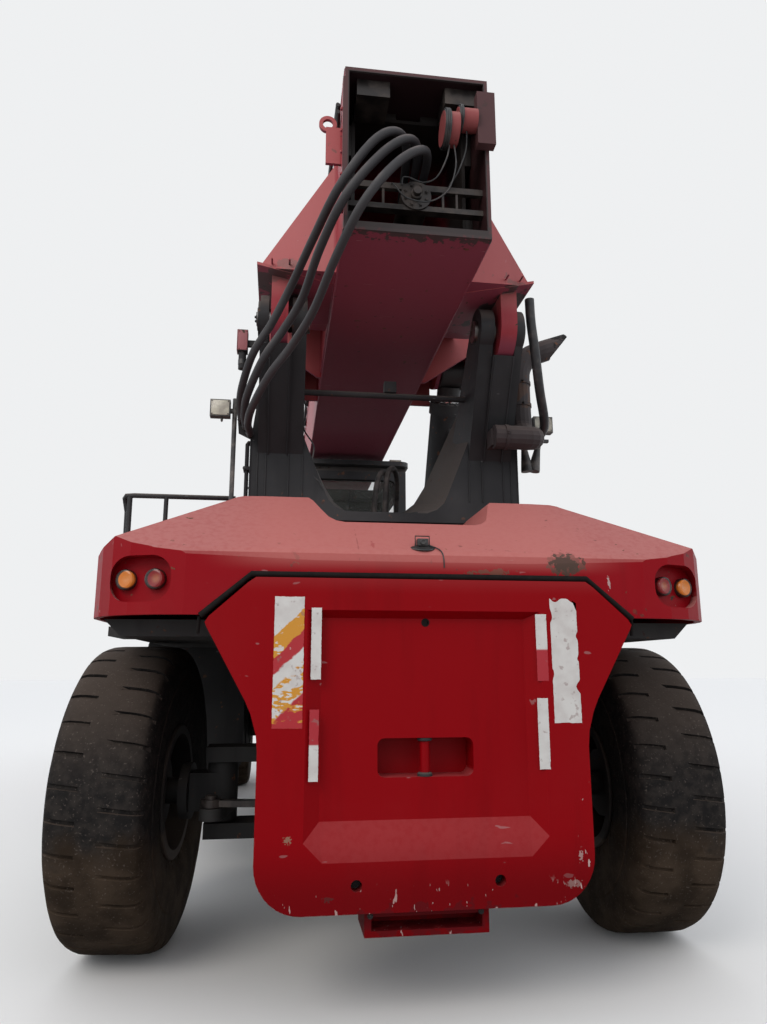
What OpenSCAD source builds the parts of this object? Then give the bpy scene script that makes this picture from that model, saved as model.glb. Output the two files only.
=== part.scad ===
/* Reach stacker: a four-axle-end lift truck with a telescopic boom over the cab and a
   top-lift container spreader. X is right, Y is forward, Z is up. Modules are drawn from
   the rear axle, and placed() moves them to the middle of the whole machine's length. */

/* [Wheels] */
// Outside diameter of every tyre
tyre_diameter = 1596; // [1500:1:1700]
// Width of a tyre
tyre_width = 490; // [450:1:520]
// Diameter of the rim's bead seat
rim_diameter = 645; // [600:1:700]
// Distance from the rear axle to the front axle
wheelbase = 6000; // [5500:10:6500]
// Distance between the rear tyres' middles
rear_track = 2834; // [2700:1:3000]
// Distance between the middles of the two twin pairs
front_track = 3020; // [2900:1:3200]
// Distance between the two tyres of a pair
twin_spacing = 570; // [540:1:620]
// Distance between the kingpins
kingpin_track = 1900; // [1700:10:2000]
// Angle that the left rear wheel rests at
steer_rest_left = -6; // [-8:0.5:8]
// Angle that the right rear wheel rests at
steer_rest_right = -1.5; // [-8:0.5:8]

/* [Boom] */
// Width of the outer boom
boom_width = 778; // [700:1:850]
// Height of the outer boom
boom_height = 960; // [850:1:1050]
// Thickness of the outer boom's walls
boom_wall = 22; // [12:1:30]
// Underside of the resting boom
boom_underside = 3660; // [3500:10:3800]
// Length of the outer boom
boom_length = 7800; // [7000:10:8200]
// Travel of the inner boom
boom_travel = 7000; // [6000:100:7500]
// Gap between the outer and the inner boom, which the wear pads fill
boom_gap = 40; // [25:1:60]
// Distance of the boom pivot behind the rear axle
pivot_back = 200; // [100:10:400]
// Height of the boom pivot
pivot_height = 3580; // [3400:10:3700]
// Radius of the boom pivot pins
pivot_pin_radius = 70; // [50:1:90]

/* [Lift cylinders] */
// Distance of the cylinders from the middle plane
lift_offset = 700; // [650:1:760]
// Foot pin ahead of the rear axle
lift_foot_y = 2620; // [2500:10:3000]
// Height of the foot pin
lift_foot_z = 1250; // [1100:10:1400]
// Eye pin ahead of the rear axle
lift_eye_y = 1200; // [1150:10:1500]
// Height of the eye pin
lift_eye_z = 3870; // [3700:10:4000]
// Radius of the cylinder barrel
lift_barrel_radius = 140; // [120:1:170]
// Radius of the piston rod
lift_rod_radius = 100; // [80:1:120]

/* [Rear end] */
// Rear face of the counterweight behind the rear axle
counterweight_back = 1188; // [1150:1:1250]
// Half width of the rear hood
hood_half_width = 1540; // [1500:1:1600]
// Thickness of the hood's shell
hood_wall = 24; // [15:1:40]
// Outer half width of the two boom towers
tower_half_width = 866; // [840:1:900]

/* [Spreader] */
// Spreader's middle ahead of the rear axle
spreader_y = 8950; // [8700:10:9200]
// Length across the spreader when it is drawn in
spreader_span = 6058; // [6050:1:6070]
// Depth of the end beams
end_beam_length = 2438; // [2400:1:2450]
// Height of the hanger pin
hanger_pin_z = 3420; // [3400:10:3450]
// Travel of each sliding beam
beam_travel = 3050; // [3000:10:3100]

/* [Hidden] */
$fn = 48;
r_tyre = tyre_diameter / 2;
mid_y = (spreader_y + end_beam_length / 2 - counterweight_back) / 2;
spreader_half = spreader_span / 2 - 279;
boom_back = -1123;
boom_top = boom_underside + boom_height;
boom_front = boom_back + boom_length;
frame_front = wheelbase + 500;
tower_top = pivot_height - 140;
hub_end = (front_track + twin_spacing) / 2 + 35;
steer_eye_x = 625;
steer_barrel_half = 340;
kingpin_x = kingpin_track / 2;
steer_arm = 330;
steer_rod_y = -390;
steer_rod_z = 830;
steer_rod_r = 42;
steer_barrel_r = 85;
lift_len = sqrt(pow(lift_foot_y - lift_eye_y, 2) + pow(lift_eye_z - lift_foot_z, 2));
lift_angle = atan2(lift_eye_z - lift_foot_z, lift_eye_y - lift_foot_y);
fork_in = [540, 628];
fork_out = [770, 822];
ear = [655, 757];
fork_radius = 145;
ear_radius = 190;
deck_z = 1800;
cab_back = 2950;
cab_front = 4650;
cab_half = 610;
cab_floor = 1730.3;
cab_roof = 3540;
hinge_x = cab_half + 20;
hinge_y = cab_back + 380;
hinge_z = [2000, 3050];
rail_gap = [3500, 4180];

red = [0.62, 0.06, 0.07];
black = [0.05, 0.05, 0.055];
grey = [0.3, 0.3, 0.31];
steel = [0.7, 0.7, 0.72];

module placed() {
    translate([0, -mid_y, 0]) children();
}

// A box from its low corner to its high corner
module span(low, high) {
    translate(low) cube(high - low);
}

// The same shape on the left and on the right
module both_sides() {
    children();
    mirror([1, 0, 0]) children();
}

// A side outline in Y and Z made into a plate between two X values
module side_plate(x0, x1) {
    translate([x0, 0, 0]) rotate([90, 0, 90]) linear_extrude(x1 - x0) children();
}

// A rear outline in X and Z made into a plate between two Y values
module rear_plate(y0, y1) {
    translate([0, y1, 0]) rotate([90, 0, 0]) linear_extrude(y1 - y0) children();
}

module x_rod(x0, x1, y, z, r) {
    translate([x0, y, z]) rotate([0, 90, 0]) cylinder(h = x1 - x0, r = r);
}

// Points of an arc, of a rectangle with round corners, and of a smooth line through points
function arc(cx, cy, r, a0, a1, n = 6) =
    [for (i = [0:n]) [cx + r * cos(a0 + (a1 - a0) * i / n), cy + r * sin(a0 + (a1 - a0) * i / n)]];
function round_rect(x0, y0, x1, y1, r) = concat(arc(x1 - r, y1 - r, r, 0, 90),
    arc(x0 + r, y1 - r, r, 90, 180), arc(x0 + r, y0 + r, r, 180, 270), arc(x1 - r, y0 + r, r, 270, 360));
function smooth(p, n) = concat([for (i = [0:len(p) - 2]) for (k = [0:n - 1])
    let(a = p[max(i - 1, 0)], b = p[i], c = p[i + 1], d = p[min(i + 2, len(p) - 1)], t = k / n)
    0.5 * (2 * b + (c - a) * t + (2 * a - 5 * b + 4 * c - d) * t * t + (3 * b - a - 3 * c + d) * t * t * t)],
    [p[len(p) - 1]]);
function unit(v) = v / norm(v);

// A round tube along a line of points, with flat ends
module tube(p, r, sides = 10) {
    n = len(p);
    dir = [for (i = [0:n - 1]) unit(p[min(i + 1, n - 1)] - p[max(i - 1, 0)])];
    first = unit(cross(dir[0], abs(dir[0][1]) > 0.9 ? [1, 0, 0] : [0, 1, 0]));
    side = [for (i = 0, s = first; i < n; i = i + 1, s = i < n ? unit(s - (s * dir[i]) * dir[i]) : s) s];
    rings = [for (i = [0:n - 1]) for (k = [0:sides - 1])
        p[i] + r * cos(360 * k / sides) * side[i] + r * sin(360 * k / sides) * cross(dir[i], side[i])];
    walls = [for (i = [0:n - 2]) for (k = [0:sides - 1]) let(a = i * sides + k,
        b = i * sides + (k + 1) % sides) each [[a, b + sides, b], [a, a + sides, b + sides]]];
    polyhedron(rings, concat(walls, [[for (k = [0:sides - 1]) k]],
        [[for (k = [sides - 1:-1:0]) (n - 1) * sides + k]]));
}

module chassis_frame() placed() color(grey) {
    both_sides() {
        side_plate(300, 520) polygon([[-840, 1000], [1150, 1000], [1150, 1500], [-840, 1500]]);
        side_plate(300, 520) polygon([[1150, 900], [wheelbase - 650, 900], [wheelbase - 300, 1080],
            [frame_front, 1080], [frame_front, 1500], [1150, 1500]]);
        // Outrigger that a tower stands on
        span([519, 900, 1200], [tower_half_width, 1650, 1500]);
        // Foot bracket of the lift cylinder
        difference() {
            side_plate(520, 880) polygon([[lift_foot_y - 250, 900], [lift_foot_y + 250, 900],
                [lift_foot_y + 180, 1340], [lift_foot_y - 180, 1340]]);
            side_plate(lift_offset - 110, lift_offset + 110)
                polygon([[lift_foot_y - 350, 1020], [lift_foot_y + 350, 1020],
                    [lift_foot_y + 350, 1700], [lift_foot_y - 350, 1700]]);
            x_rod(500, 900, lift_foot_y, lift_foot_z, 60.3);
        }
        x_rod(lift_offset - 120, lift_offset + 120, lift_foot_y, lift_foot_z, 60);
    }
    span([-310, -840, 1000], [310, -500, 1500]);
    span([-310, 1000, 900], [310, 1400, 1500]);
    span([-310, 3300, 900], [310, 3600, 1500]);
    span([-310, frame_front - 400, 1080], [310, frame_front, 1500]);
}

// Inner edge of the towers' opening in the rear plane and in the front plane
tower_edge = [[260, 2440], [325, 2465], [372, 2510], [400, 2570], [465, 2750], [592, tower_top - 380], [740, tower_top]];
tower_front = [[207, 2577], [292, 2645], [369, 2772], [498, tower_top - 381], [677, tower_top + 8]];

function mirrored(p) = concat(p, [for (i = [len(p) - 1:-1:0]) [-p[i][0], p[i][1]]]);

module rear_towers() placed() color(black) {
    difference() {
        union() {
            // Closed box of both towers, with the U-shaped opening and the round hole in its floor
            difference() {
                intersection() {
                    rear_plate(60, 720) polygon(mirrored([[tower_half_width, 2380],
                        [tower_half_width, 2900], [822, tower_top - 202], [790, tower_top]]));
                    side_plate(-900, 900) polygon([[60, 2300], [60, tower_top - 202],
                        [120, tower_top - 178], [720, tower_top - 20], [720, 2300]]);
                }
                hull() {
                    rear_plate(58, 59) polygon(mirrored(tower_edge));
                    rear_plate(721, 722) polygon(mirrored(tower_front));
                }
                translate([0, 400, 2300]) cylinder(h = 400, r = 260);
            }
            both_sides() {
                // Two fork plates that hold the pivot
                for (x = [fork_in, fork_out]) side_plate(x[0], x[1]) {
                    polygon([[-pivot_back - fork_radius, pivot_height], [60, 2800], [61, 2500],
                        [715, 2500], [715, 2850], [-pivot_back + 105, pivot_height + 100]]);
                    translate([-pivot_back, pivot_height]) circle(r = fork_radius);
                }
                // Legs down to the frame
                for (x = [[700, 730], [812, tower_half_width]]) side_plate(x[0], x[1])
                    polygon([[109, 1500.3], [1640, 1500.3], [1560, 1760], [1000, 2381], [109, 2381]]);
                rear_plate(60, 110) polygon([[700, 1500.3], [tower_half_width, 1500.3],
                    [tower_half_width, 2381], [700, 2381]]);
                // Leaning web between the fork plates
                side_plate(fork_in[1] - 0.01, fork_out[0] + 0.01)
                    polygon([[59, 2800], [61, 2700], [110, 2700], [110, 2800], [30 - pivot_back, tower_top - 40], [-90 - pivot_back, tower_top - 40]]);
                // Boss ring round the pivot
                x_rod(fork_out[0] + 10, fork_out[1] + 14, -pivot_back, pivot_height, 110);
            }
        }
        x_rod(-900, 900, -pivot_back, pivot_height, pivot_pin_radius + 0.05);
        // Room for the ears
        both_sides() x_rod(fork_in[1], fork_out[0], -pivot_back, pivot_height, ear_radius + 15);
    }
    // Tube across the towers, with a small box on it
    x_rod(-560, 560, 130, tower_top - 195, 20);
    span([-10, 92, tower_top - 178], [70, 160, tower_top - 105]);
}

cw_half = [[765, 1865], [800, 1840], [965, 1690], [980, 1665], [972, 1645], [795, 1330],
    [770, 1275], [745, 1190], [738, 1120]];
module counterweight() placed() color(red) {
    difference() {
        rear_plate(-counterweight_back, -850) polygon(concat(cw_half,
            arc(538, 670, 200, 0, -90, 9), arc(-538, 670, 200, 270, 180, 9),
            [for (i = [len(cw_half) - 1:-1:0]) [-cw_half[i][0], cw_half[i][1]]]));
        // Shallow panel with sloping sides
        hull() {
            rear_plate(-1189, -1188) polygon([[-455, 670], [455, 670], [536, 750], [536, 1722],
                [-536, 1722], [-536, 750]]);
            rear_plate(-1141, -1140) polygon([[-467, 826], [467, 826], [467, 1690], [-467, 1690]]);
        }
        // Tow pocket
        rear_plate(-1189, -1000) polygon(round_rect(-216, 1000, 216, 1165, 32));
        for (h = [[-310, 578, 24], [310, 578, 24], [0, 1672, 14]])
            translate([h[0], -1120, h[1]]) rotate([90, 0, 0]) cylinder(h = 80, r = h[2]);
    }
    translate([0, -1110, 998]) cylinder(h = 169, r = 22);
    span([-520, -851, 1010], [520, -840.3, 1490]);
    // Tow block
    difference() {
        span([-270, -1130, 360], [270, -880, 471]);
        span([-240, -1131, 385], [240, -1000, 440]);
    }
}

hood_half = [[1540, 1700], [1540, 1945], [1528, 1982], [1500, 2010], [930, 2362], [905, 2380],
    [870, 2392], [545, 2404], [515, 2395], [492, 2370], [455, 2300], [420, 2240], [385, 2212],
    [340, 2200]];
hood_plan = [[1540, 1000], [1540, -770], [1520, -860], [1480, -945], [1420, -1020],
    [1330, -1085], [1220, -1125], [1080, -1145], [500, -1150]];
module hood_outline(inset) {
    k = (hood_half_width - inset) / hood_half_width;
    intersection() {
        rear_plate(-1300, 1000 - inset) polygon(concat(
            [for (q = hood_half) [q[0] * k, max(q[1] - inset, 1700)]],
            [for (i = [len(hood_half) - 1:-1:0]) [-hood_half[i][0] * k, max(hood_half[i][1] - inset, 1700)]]));
        side_plate(-hood_half_width, hood_half_width) polygon([[-1150 + inset, 1600],
            [-1150 + inset, 1950], [-1142 + inset, 1984], [-1115 + inset, 2008],
            [-480 + inset, 2396], [-430 + inset, 2405], [1001, 2405], [1001, 1600]]);
        translate([0, 0, 1600]) linear_extrude(1000) polygon(concat(
            [for (q = hood_plan) [q[0] * k, q[1] + (q[1] < 0 ? inset : 0)]],
            [for (i = [len(hood_plan) - 1:-1:0]) [-hood_plan[i][0] * k,
            hood_plan[i][1] + (hood_plan[i][1] < 0 ? inset : 0)]]));
    }
}

module rear_hood() placed() color(red) {
    difference() {
        hood_outline(0);
        translate([0, 0, -30]) hood_outline(hood_wall);
        // Notch that the counterweight stands in
        rear_plate(-1200, -820) polygon([[-790, 1894], [790, 1894], [1012, 1692], [1012, 1600],
            [-1012, 1600], [-1012, 1692]]);
        // Room for the towers
        both_sides() span([600, 59.7, 1600], [tower_half_width + 0.3, 1010, 2500]);
        span([-601, 59.7, 1600], [601, 1010, 2500]);
        // Windows of the tail lamps
        both_sides() rear_plate(-1200, -960) polygon(round_rect(1140, 1757, 1425, 1965, 88));
    }
    // Lamp recesses: a collar and a slanted floor
    both_sides() intersection() {
        hood_outline(3);
        difference() {
            rear_plate(-1200, -930) polygon(round_rect(1132, 1749, 1433, 1973, 96));
            rear_plate(-1201, -920) polygon(round_rect(1140, 1757, 1425, 1965, 88));
        }
    }
    both_sides() translate([0, 0, 1749]) linear_extrude(224)
        polygon([[1132, -1080], [1433, -960], [1433, -940], [1132, -1060]]);
}

module tail_lamps() placed() color([0.8, 0.3, 0.1]) both_sides() {
    for (x = [1212, 1350]) translate([x, -1080 + (x - 1132) * 120 / 301, 1863]) rotate([0, 0, 21.74])
        translate([0, -38.9, 0]) rotate([-90, 0, 0]) {
        rotate_extrude() polygon([[0, 0], [36, 0], [44, 4], [48, 12], [48, 38.6], [0, 38.6]]);
    }
}

module drive_axle() placed() color(grey) {
    x_rod(-1100, 1100, wheelbase, r_tyre, 130);
    translate([0, wheelbase, r_tyre]) rotate([0, 90, 0]) rotate_extrude()
        polygon([[0, -400], [140, -400], [250, -180], [250, 180], [140, 400], [0, 400]]);
    both_sides() {
        x_rod(1099, 1240, wheelbase, r_tyre, 190);
        x_rod(1239, hub_end, wheelbase, r_tyre, 110);
        span([330, wheelbase - 200, r_tyre + 60], [700, wheelbase + 200, 1079.7]);
    }
}

module steer_axle() placed() color(grey) {
    // Box beam, tapering to its forked ends
    both_sides() {
        difference() {
            rear_plate(-190, 190) polygon([[-1, 640], [600, 640], [740, 560], [kingpin_x + 90, 560],
                [kingpin_x + 90, 640], [750, 640], [750, 960], [kingpin_x + 90, 960],
                [kingpin_x + 90, 1040], [740, 1040], [600, 999.7], [-1, 999.7]]);
            // Ends narrow to the width of the forks
            for (s = [-1, 1]) linear_extrude(1200) polygon([[620, s * 191], [760, s * 110],
                [1100, s * 110], [1100, s * 400], [620, s * 400]]);
        }
        translate([kingpin_x, 0, 560]) cylinder(h = 480, r = 45);
    }
    // Mounting for the steering cylinder
    for (x = [-300, 240]) side_plate(x, x + 60) polygon([[-189, 680], [-300, 730], [-300, 930], [-189, 970]]);
}

module steer_cylinder() placed() color(black) difference() {
    union() {
        for (x = [-300.3, 236]) x_rod(x - 30, x + 94.6, steer_rod_y, steer_rod_z, steer_barrel_r + 14);
        x_rod(-steer_barrel_half, steer_barrel_half, steer_rod_y, steer_rod_z, steer_barrel_r);
    }
    x_rod(-steer_barrel_half - 1, steer_barrel_half + 1, steer_rod_y, steer_rod_z, steer_rod_r + 0.05);
    for (x = [-300, 240]) span([x - 0.3, -301, 700], [x + 60.3, -100, 1000]);
}

// One rod through the cylinder, with a link at each end that lies on the knuckle's arm
module steer_rod() placed() color(steel) {
    x_rod(-steer_eye_x, steer_eye_x, steer_rod_y, steer_rod_z, steer_rod_r);
    for (s = [-1, 1]) {
        a = s < 0 ? steer_rest_left : steer_rest_right;
        end = [s * kingpin_x + steer_arm * sin(a), -steer_arm * cos(a)];
        eye = [s * steer_eye_x, steer_rod_y];
        along = end - eye;
        translate([eye[0], eye[1], steer_rod_z - 60]) rotate([0, 0, atan2(along[1], along[0])]) {
            rotate([0, 0, 90]) cylinder(h = 120, r = 62);
            translate([20, -28, -3]) cube([norm(along) - 20, 56, 32]);
            translate([norm(along), 0, -5]) cylinder(h = 38, r = 55);
            translate([norm(along), 0, -9.7]) cylinder(h = 60, r = 32);
        }
    }
}

module engine_block() placed() color(grey) {
    span([-290, 1450, 950], [290, 2700, 1750]);
    // Mounting feet on the frame
    both_sides() for (y = [1600, 2600]) span([280, y, 1500.3], [420, y + 120, 1540]);
}

module engine_hood() placed() color(black) {
    half = 530;
    difference() {
        rear_plate(1100, 2800) polygon([[-half, 1500.3], [-half, 2240], [-half + 90, 2350],
            [half - 90, 2350], [half, 2240], [half, 1500.3]]);
        rear_plate(1125, 2775) polygon([[-half + 25, 1499], [-half + 25, 2230], [-half + 100, 2325],
            [half - 100, 2325], [half - 25, 2230], [half - 25, 1499]]);
        // Louvre slots in both sides, in the rear wall and in the top
        for (y = [1220, 1760, 2300]) for (z = [1780:60:2140])
            span([-half - 1, y, z], [half + 1, y + 400, z + 22]);
        for (z = [1700:60:2180]) span([-380, 1099, z], [380, 1126, z + 22]);
        for (y = [1300:90:2560]) span([-300, y, 2324], [300, y + 30, 2351]);
    }
    // Ribs across the top
    for (y = [1180, 1950, 2700]) rear_plate(y, y + 30) polygon([[-half + 88, 2349], [-half + 88, 2362],
        [half - 88, 2362], [half - 88, 2349]]);
}

module side_tanks() placed() color(red) {
    front = wheelbase - 1100;
    both_sides() {
        // Tank with round edges, open step recess in its middle
        difference() {
            rear_plate(1300, front) polygon(round_rect(900, 750, 1620, 1700, 70));
            span([1470, 3640, 740], [1630, 4060, 1560]);
        }
        // Straps round the tank
        for (y = [1700, 2700, front - 300]) rear_plate(y, y + 60) polygon(round_rect(892, 742, 1628, 1700, 74));
    }
    // Filler caps
    for (x = [-1580, 1580]) translate([x, 1450, 1550]) rotate([0, x < 0 ? -75 : 75, 0])
        cylinder(h = 95, r = 55);
}

module front_fenders() placed() color(black) both_sides() {
    span([985, wheelbase - 909.7, 1700], [2075, wheelbase - 330, 1730]);
    translate([985, wheelbase, r_tyre]) rotate([90, 0, 90]) linear_extrude(1090) difference() {
        polygon(concat(arc(0, 0, 992, 8, 156, 18), arc(0, 0, 966, 156, 8, 18)));
    }
    // Outer valance of the arch
    translate([2060, wheelbase, r_tyre]) rotate([90, 0, 90]) linear_extrude(15)
        polygon(concat(arc(0, 0, 991, 9, 155, 18), arc(0, 0, 905, 155, 9, 18)));
}

module side_decks() placed() color(grey) {
    front = wheelbase - 910;
    ladder_x = 1620.3;
    both_sides() {
        span([870, 1050, 1700.3], [1720, front, 1730]);
        // Kick plates along the outer edge, open at the ladder
        for (y = [[1050, rail_gap[0]], [rail_gap[1], front]]) span([1710, y[0], 1729], [1720, y[1], 1830]);
        span([300, 2900, 1500.3], [871, front, 1730]);
        // Ladder: treads between two stringers
        for (z = [620, 900, 1180, 1460]) span([ladder_x, 3590, z], [1830, 4110, z + 30]);
        for (y = [3584, 4100]) rear_plate(y, y + 16) polygon([[ladder_x, 1701], [ladder_x, 600],
            [1830, 590], [1830, 640], [1716, 1600], [1716, 1701]]);
        // Ledge beside the hood, and the tray under it
        span([1549, 400, 1700], [1720, 1051, 1730]);
        rear_plate(-790, 1000) polygon([[880, 1699.7], [1490, 1699.7], [1410, 1620], [880, 1620]]);
        span([1480, 398, 1670], [1560, 900, 1699]);
        span([1549, 398, 1670], [1720, 900, 1701]);
    }
    span([-301, 2900, 1700], [301, front, 1730]);
}

module handrails() placed() color(black) {
    // Rail over the left hood end
    tube([[-975, 500, 2600], [-1640, 500, 2600], [-1690, 505, 2597], [-1702, 525, 2585],
        [-1700, 545, 2560], [-1690, 560, 2500], [-1680, 570, 1730.3]], 17);
    tube([[-1665, 500, 2590], [-1660, 500, 1730.3]], 17);
    tube([[-1430, 500, 2595], [-1430, 500, 2062.8]], 15);
    tube([[-985, 500, 2595], [-985, 500, 2337.6]], 15);
    // Rails of the decks, open at the ladders
    both_sides() for (y = [[2950, rail_gap[0]], [rail_gap[1], 4900]]) {
        for (end = y) tube([[1690, end, 1730.3], [1690, end, 2425]], 19);
        tube([[1690, y[0] - 19, 2425], [1690, y[1] + 19, 2425]], 19);
        tube([[1690, y[0] - 19, 2080], [1690, y[1] + 19, 2080]], 15);
    }
}

module exhaust_stack() placed() color([0.12, 0.09, 0.08]) {
    difference() {
        tube(smooth([[655, -140, 2905], [800, -138, 2905], [905, -115, 2912], [950, -20, 2945],
            [951, 110, 2990], [950, 190, 3070], [948, 200, 3200], [948, 200, 3420], [958, 200, 3510],
            [1000, 200, 3585], [1080, 200, 3640], [1300, 200, 3722]], 3), 76, 16);
        // Oblique mouth and the open bore
        translate([1330, 200, 3800]) rotate([0, 38, 0]) translate([0, -150, -250]) cube([200, 300, 400]);
        tube([[1080, 200, 3640], [1330, 200, 3733]], 69, 16);
    }
    span([640, -140, 2850], [700, -35, 2960]);
}

module work_lamps() placed() color(grey) {
    // Left lamp on a post on the hood
    tube([[-975, 75, 2346], [-975, 75, 3155]], 15);
    span([-1125, 20, 3020], [-1000, 80, 3130]);
    span([-1010, 60, 3060], [-970, 90, 3085]);
    span([-975, 61, 3100], [-840.3, 91, 3125]);
    // Right lamp on an arm from the tower, with two horns under it
    span([850.4, 290, 3022], [1180, 320, 3042]);
    span([1110, 295, 3041], [1140, 315, 3090]);
    span([1072, 275, 3088], [1209, 335, 3204]);
    for (h = [[1000, -6], [1112, 12]]) translate([h[0], 311, 3023]) rotate([0, 180 + h[1], 0])
        rotate_extrude() polygon([[0, 0], [20, 0], [22, 60], [42, 200], [42, 215], [0, 215]]);
    // Lamps on the cab roof and on the fenders
    both_sides() {
        for (y = [cab_back - 20, cab_front - 260])
            span([440, y, cab_roof + 48.3], [560, y + 60, cab_roof + 72]);
        translate([1500, wheelbase - 620, 1730.3]) rotate_extrude() polygon([[0, 0], [60, 0], [60, 12],
            [22, 20], [22, 60], [0, 60]]);
        span([1410, wheelbase - 660, 1788], [1590, wheelbase - 585, 1910]);
    }
}

// Pipes, hose clamps and a switch box on the left tower
module tower_fittings() placed() color(grey) {
    side = -tower_half_width - 0.3;
    for (k = [0, 1]) tube([[side, 85 + 40 * k, 2450], [side - 14, 85 + 40 * k, 2450],
        [side - 23, 85 + 40 * k, 2462], [side - 23, 85 + 40 * k, 2700], [side - 23, 85 + 40 * k, 2860],
        [side - 14, 85 + 40 * k, 2872], [side, 85 + 40 * k, 2872]], 12);
    span([side - 42, 66, 2688], [side, 144, 2712]);
    // Box on an arm from the fork plate, with a plug under it
    span([-962, -130, 3400], [-900, -60, 3540]);
    span([-901, -108, 3440], [-fork_out[1] - 0.3, -84, 3480]);
    translate([-931, -95, 3290]) cylinder(h = 111, r = 24);
    // Plate that the hoses end at, with a socket for each
    difference() {
        union() {
            for (q = hose_routes) translate(q[len(q) - 1] + [0, 0.3, 0]) rotate([-90, 0, 0])
                cylinder(h = 61.7 - q[len(q) - 1][1], r = 22);
            rear_plate(61, 75) polygon([[side + 14, 2880], [-945, 2925], [-955, 3030], [-940, 3045],
                [side + 14, 3010]]);
        }
        span([side, 59.7, 2800], [side + 60, 80, 3100]);
    }
}

module mirrors() placed() color(black) both_sides() {
    tube(smooth([[1690, 4919.5, 2425], [1690, 4940, 2425], [1690, 4960, 2425], [1692, 4990, 2450],
        [1740, 5010, 2520], [1790, 5010, 2710]], 2), 11);
    side = 1690;
    rear_plate(5000, 5020) polygon(round_rect(side + 20, 2700, side + 190, 3020, 30));
    rear_plate(5019, 5034) polygon(round_rect(side + 40, 2730, side + 170, 2990, 25));
}

module cab_shell() placed() color(black) {
    profile = [[cab_back, cab_floor], [cab_back, cab_roof - 60], [cab_back + 50, cab_roof],
        [cab_front - 300, cab_roof], [cab_front - 225, cab_roof - 50], [cab_front, cab_floor + 600],
        [cab_front, cab_floor + 160], [cab_front - 90, cab_floor]];
    difference() {
        side_plate(-cab_half, cab_half) polygon(profile);
        side_plate(-cab_half + 60, cab_half - 60) polygon([[cab_back + 60, cab_floor + 60],
            [cab_back + 60, cab_roof - 70], [cab_front - 290, cab_roof - 70],
            [cab_front - 60, cab_floor + 600], [cab_front - 60, cab_floor + 180],
            [cab_front - 120, cab_floor + 60]]);
        // Rear window, windscreen, lower front window, roof window
        rear_plate(cab_back - 1, cab_back + 61) polygon(round_rect(-500, 2700, 500, 3385, 60));
        span([-560, cab_front - 320, 2390], [560, cab_front + 1, 3330]);
        rear_plate(cab_front - 61, cab_front + 1) polygon(round_rect(-500, 1970, 500, 2300, 40));
        span([-460, cab_back + 300, cab_roof - 80], [460, cab_front - 450, cab_roof + 1]);
        // Quarter windows behind the doors
        both_sides() side_plate(cab_half - 61, cab_half + 1)
            polygon(round_rect(cab_back + 100, 2350, cab_back + 340, 3330, 40));
        // Door openings
        span([-cab_half - 1, cab_back + 400, cab_floor + 60], [cab_half + 1, cab_front - 320, 3400]);
    }
    // Roof with its overhang, and a ridge round it
    difference() {
        translate([0, 0, cab_roof]) linear_extrude(48)
            polygon(round_rect(-cab_half - 30, cab_back - 50, cab_half + 30, cab_front - 160, 90));
        span([-460, cab_back + 300, cab_roof - 80], [460, cab_front - 450, cab_roof + 60]);
    }
    // Hinge pins of the doors
    both_sides() for (z = hinge_z) {
        translate([hinge_x, hinge_y, z - 40]) cylinder(h = 160, r = 10);
        span([cab_half - 10, hinge_y - 60, z - 40], [hinge_x + 10, hinge_y + 8, z - 0.3]);
    }
}

module cab_glass() placed() color([0.2, 0.25, 0.28, 0.4]) {
    rear_plate(cab_back + 20, cab_back + 30) polygon(round_rect(-499.7, 2700.3, 499.7, 3384.7, 60));
    rear_plate(cab_front - 40, cab_front - 30) polygon(round_rect(-499.7, 1970.3, 499.7, 2299.7, 40));
    span([-459.7, cab_back + 300.3, cab_roof - 40], [459.7, cab_front - 450.3, cab_roof - 30]);
    both_sides() side_plate(cab_half - 35, cab_half - 25)
        polygon(round_rect(cab_back + 100.3, 2350.3, cab_back + 339.7, 3329.7, 40));
    // Windscreen, standing in its frame
    side_plate(-559.7, 559.7) polygon([[cab_front - 254, 3329.7], [cab_front - 264, 3329.7],
        [cab_front - 50, 2390.3], [cab_front - 40, 2390.3]]);
}

module cab_seat() placed() color(black) {
    // Suspension base, cushion, back rest and arm rests
    translate([0, cab_back + 600, cab_floor + 60.3]) rotate_extrude() polygon([[0, 0], [210, 0],
        [210, 40], [150, 70], [150, 230], [200, 270], [0, 270]]);
    side_plate(-240, 240) polygon([[cab_back + 370, cab_floor + 330], [cab_back + 850, cab_floor + 330],
        [cab_back + 870, cab_floor + 440], [cab_back + 820, cab_floor + 470], [cab_back + 370, cab_floor + 450]]);
    side_plate(-230, 230) polygon([[cab_back + 330, cab_floor + 420], [cab_back + 450, cab_floor + 420],
        [cab_back + 400, cab_floor + 1060], [cab_back + 370, cab_floor + 1100], [cab_back + 280, cab_floor + 1090]]);
    both_sides() span([239, cab_back + 380, cab_floor + 560], [320, cab_back + 760, cab_floor + 620]);
    both_sides() span([225, cab_back + 380, cab_floor + 430], [245, cab_back + 440, cab_floor + 620]);
}

module cab_console() placed() color(grey) {
    span([-260, cab_front - 330, cab_floor + 60.3], [260, cab_front - 125, cab_floor + 600]);
    tube([[0, cab_front - 280, cab_floor + 590], [0, cab_front - 450, cab_floor + 760]], 25);
    translate([0, cab_front - 450, cab_floor + 760]) rotate([40, 0, 0])
        rotate_extrude() translate([190, 0]) circle(r = 14);
    span([-185, cab_front - 462, cab_floor + 750], [185, cab_front - 438, cab_floor + 770]);
}

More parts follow.
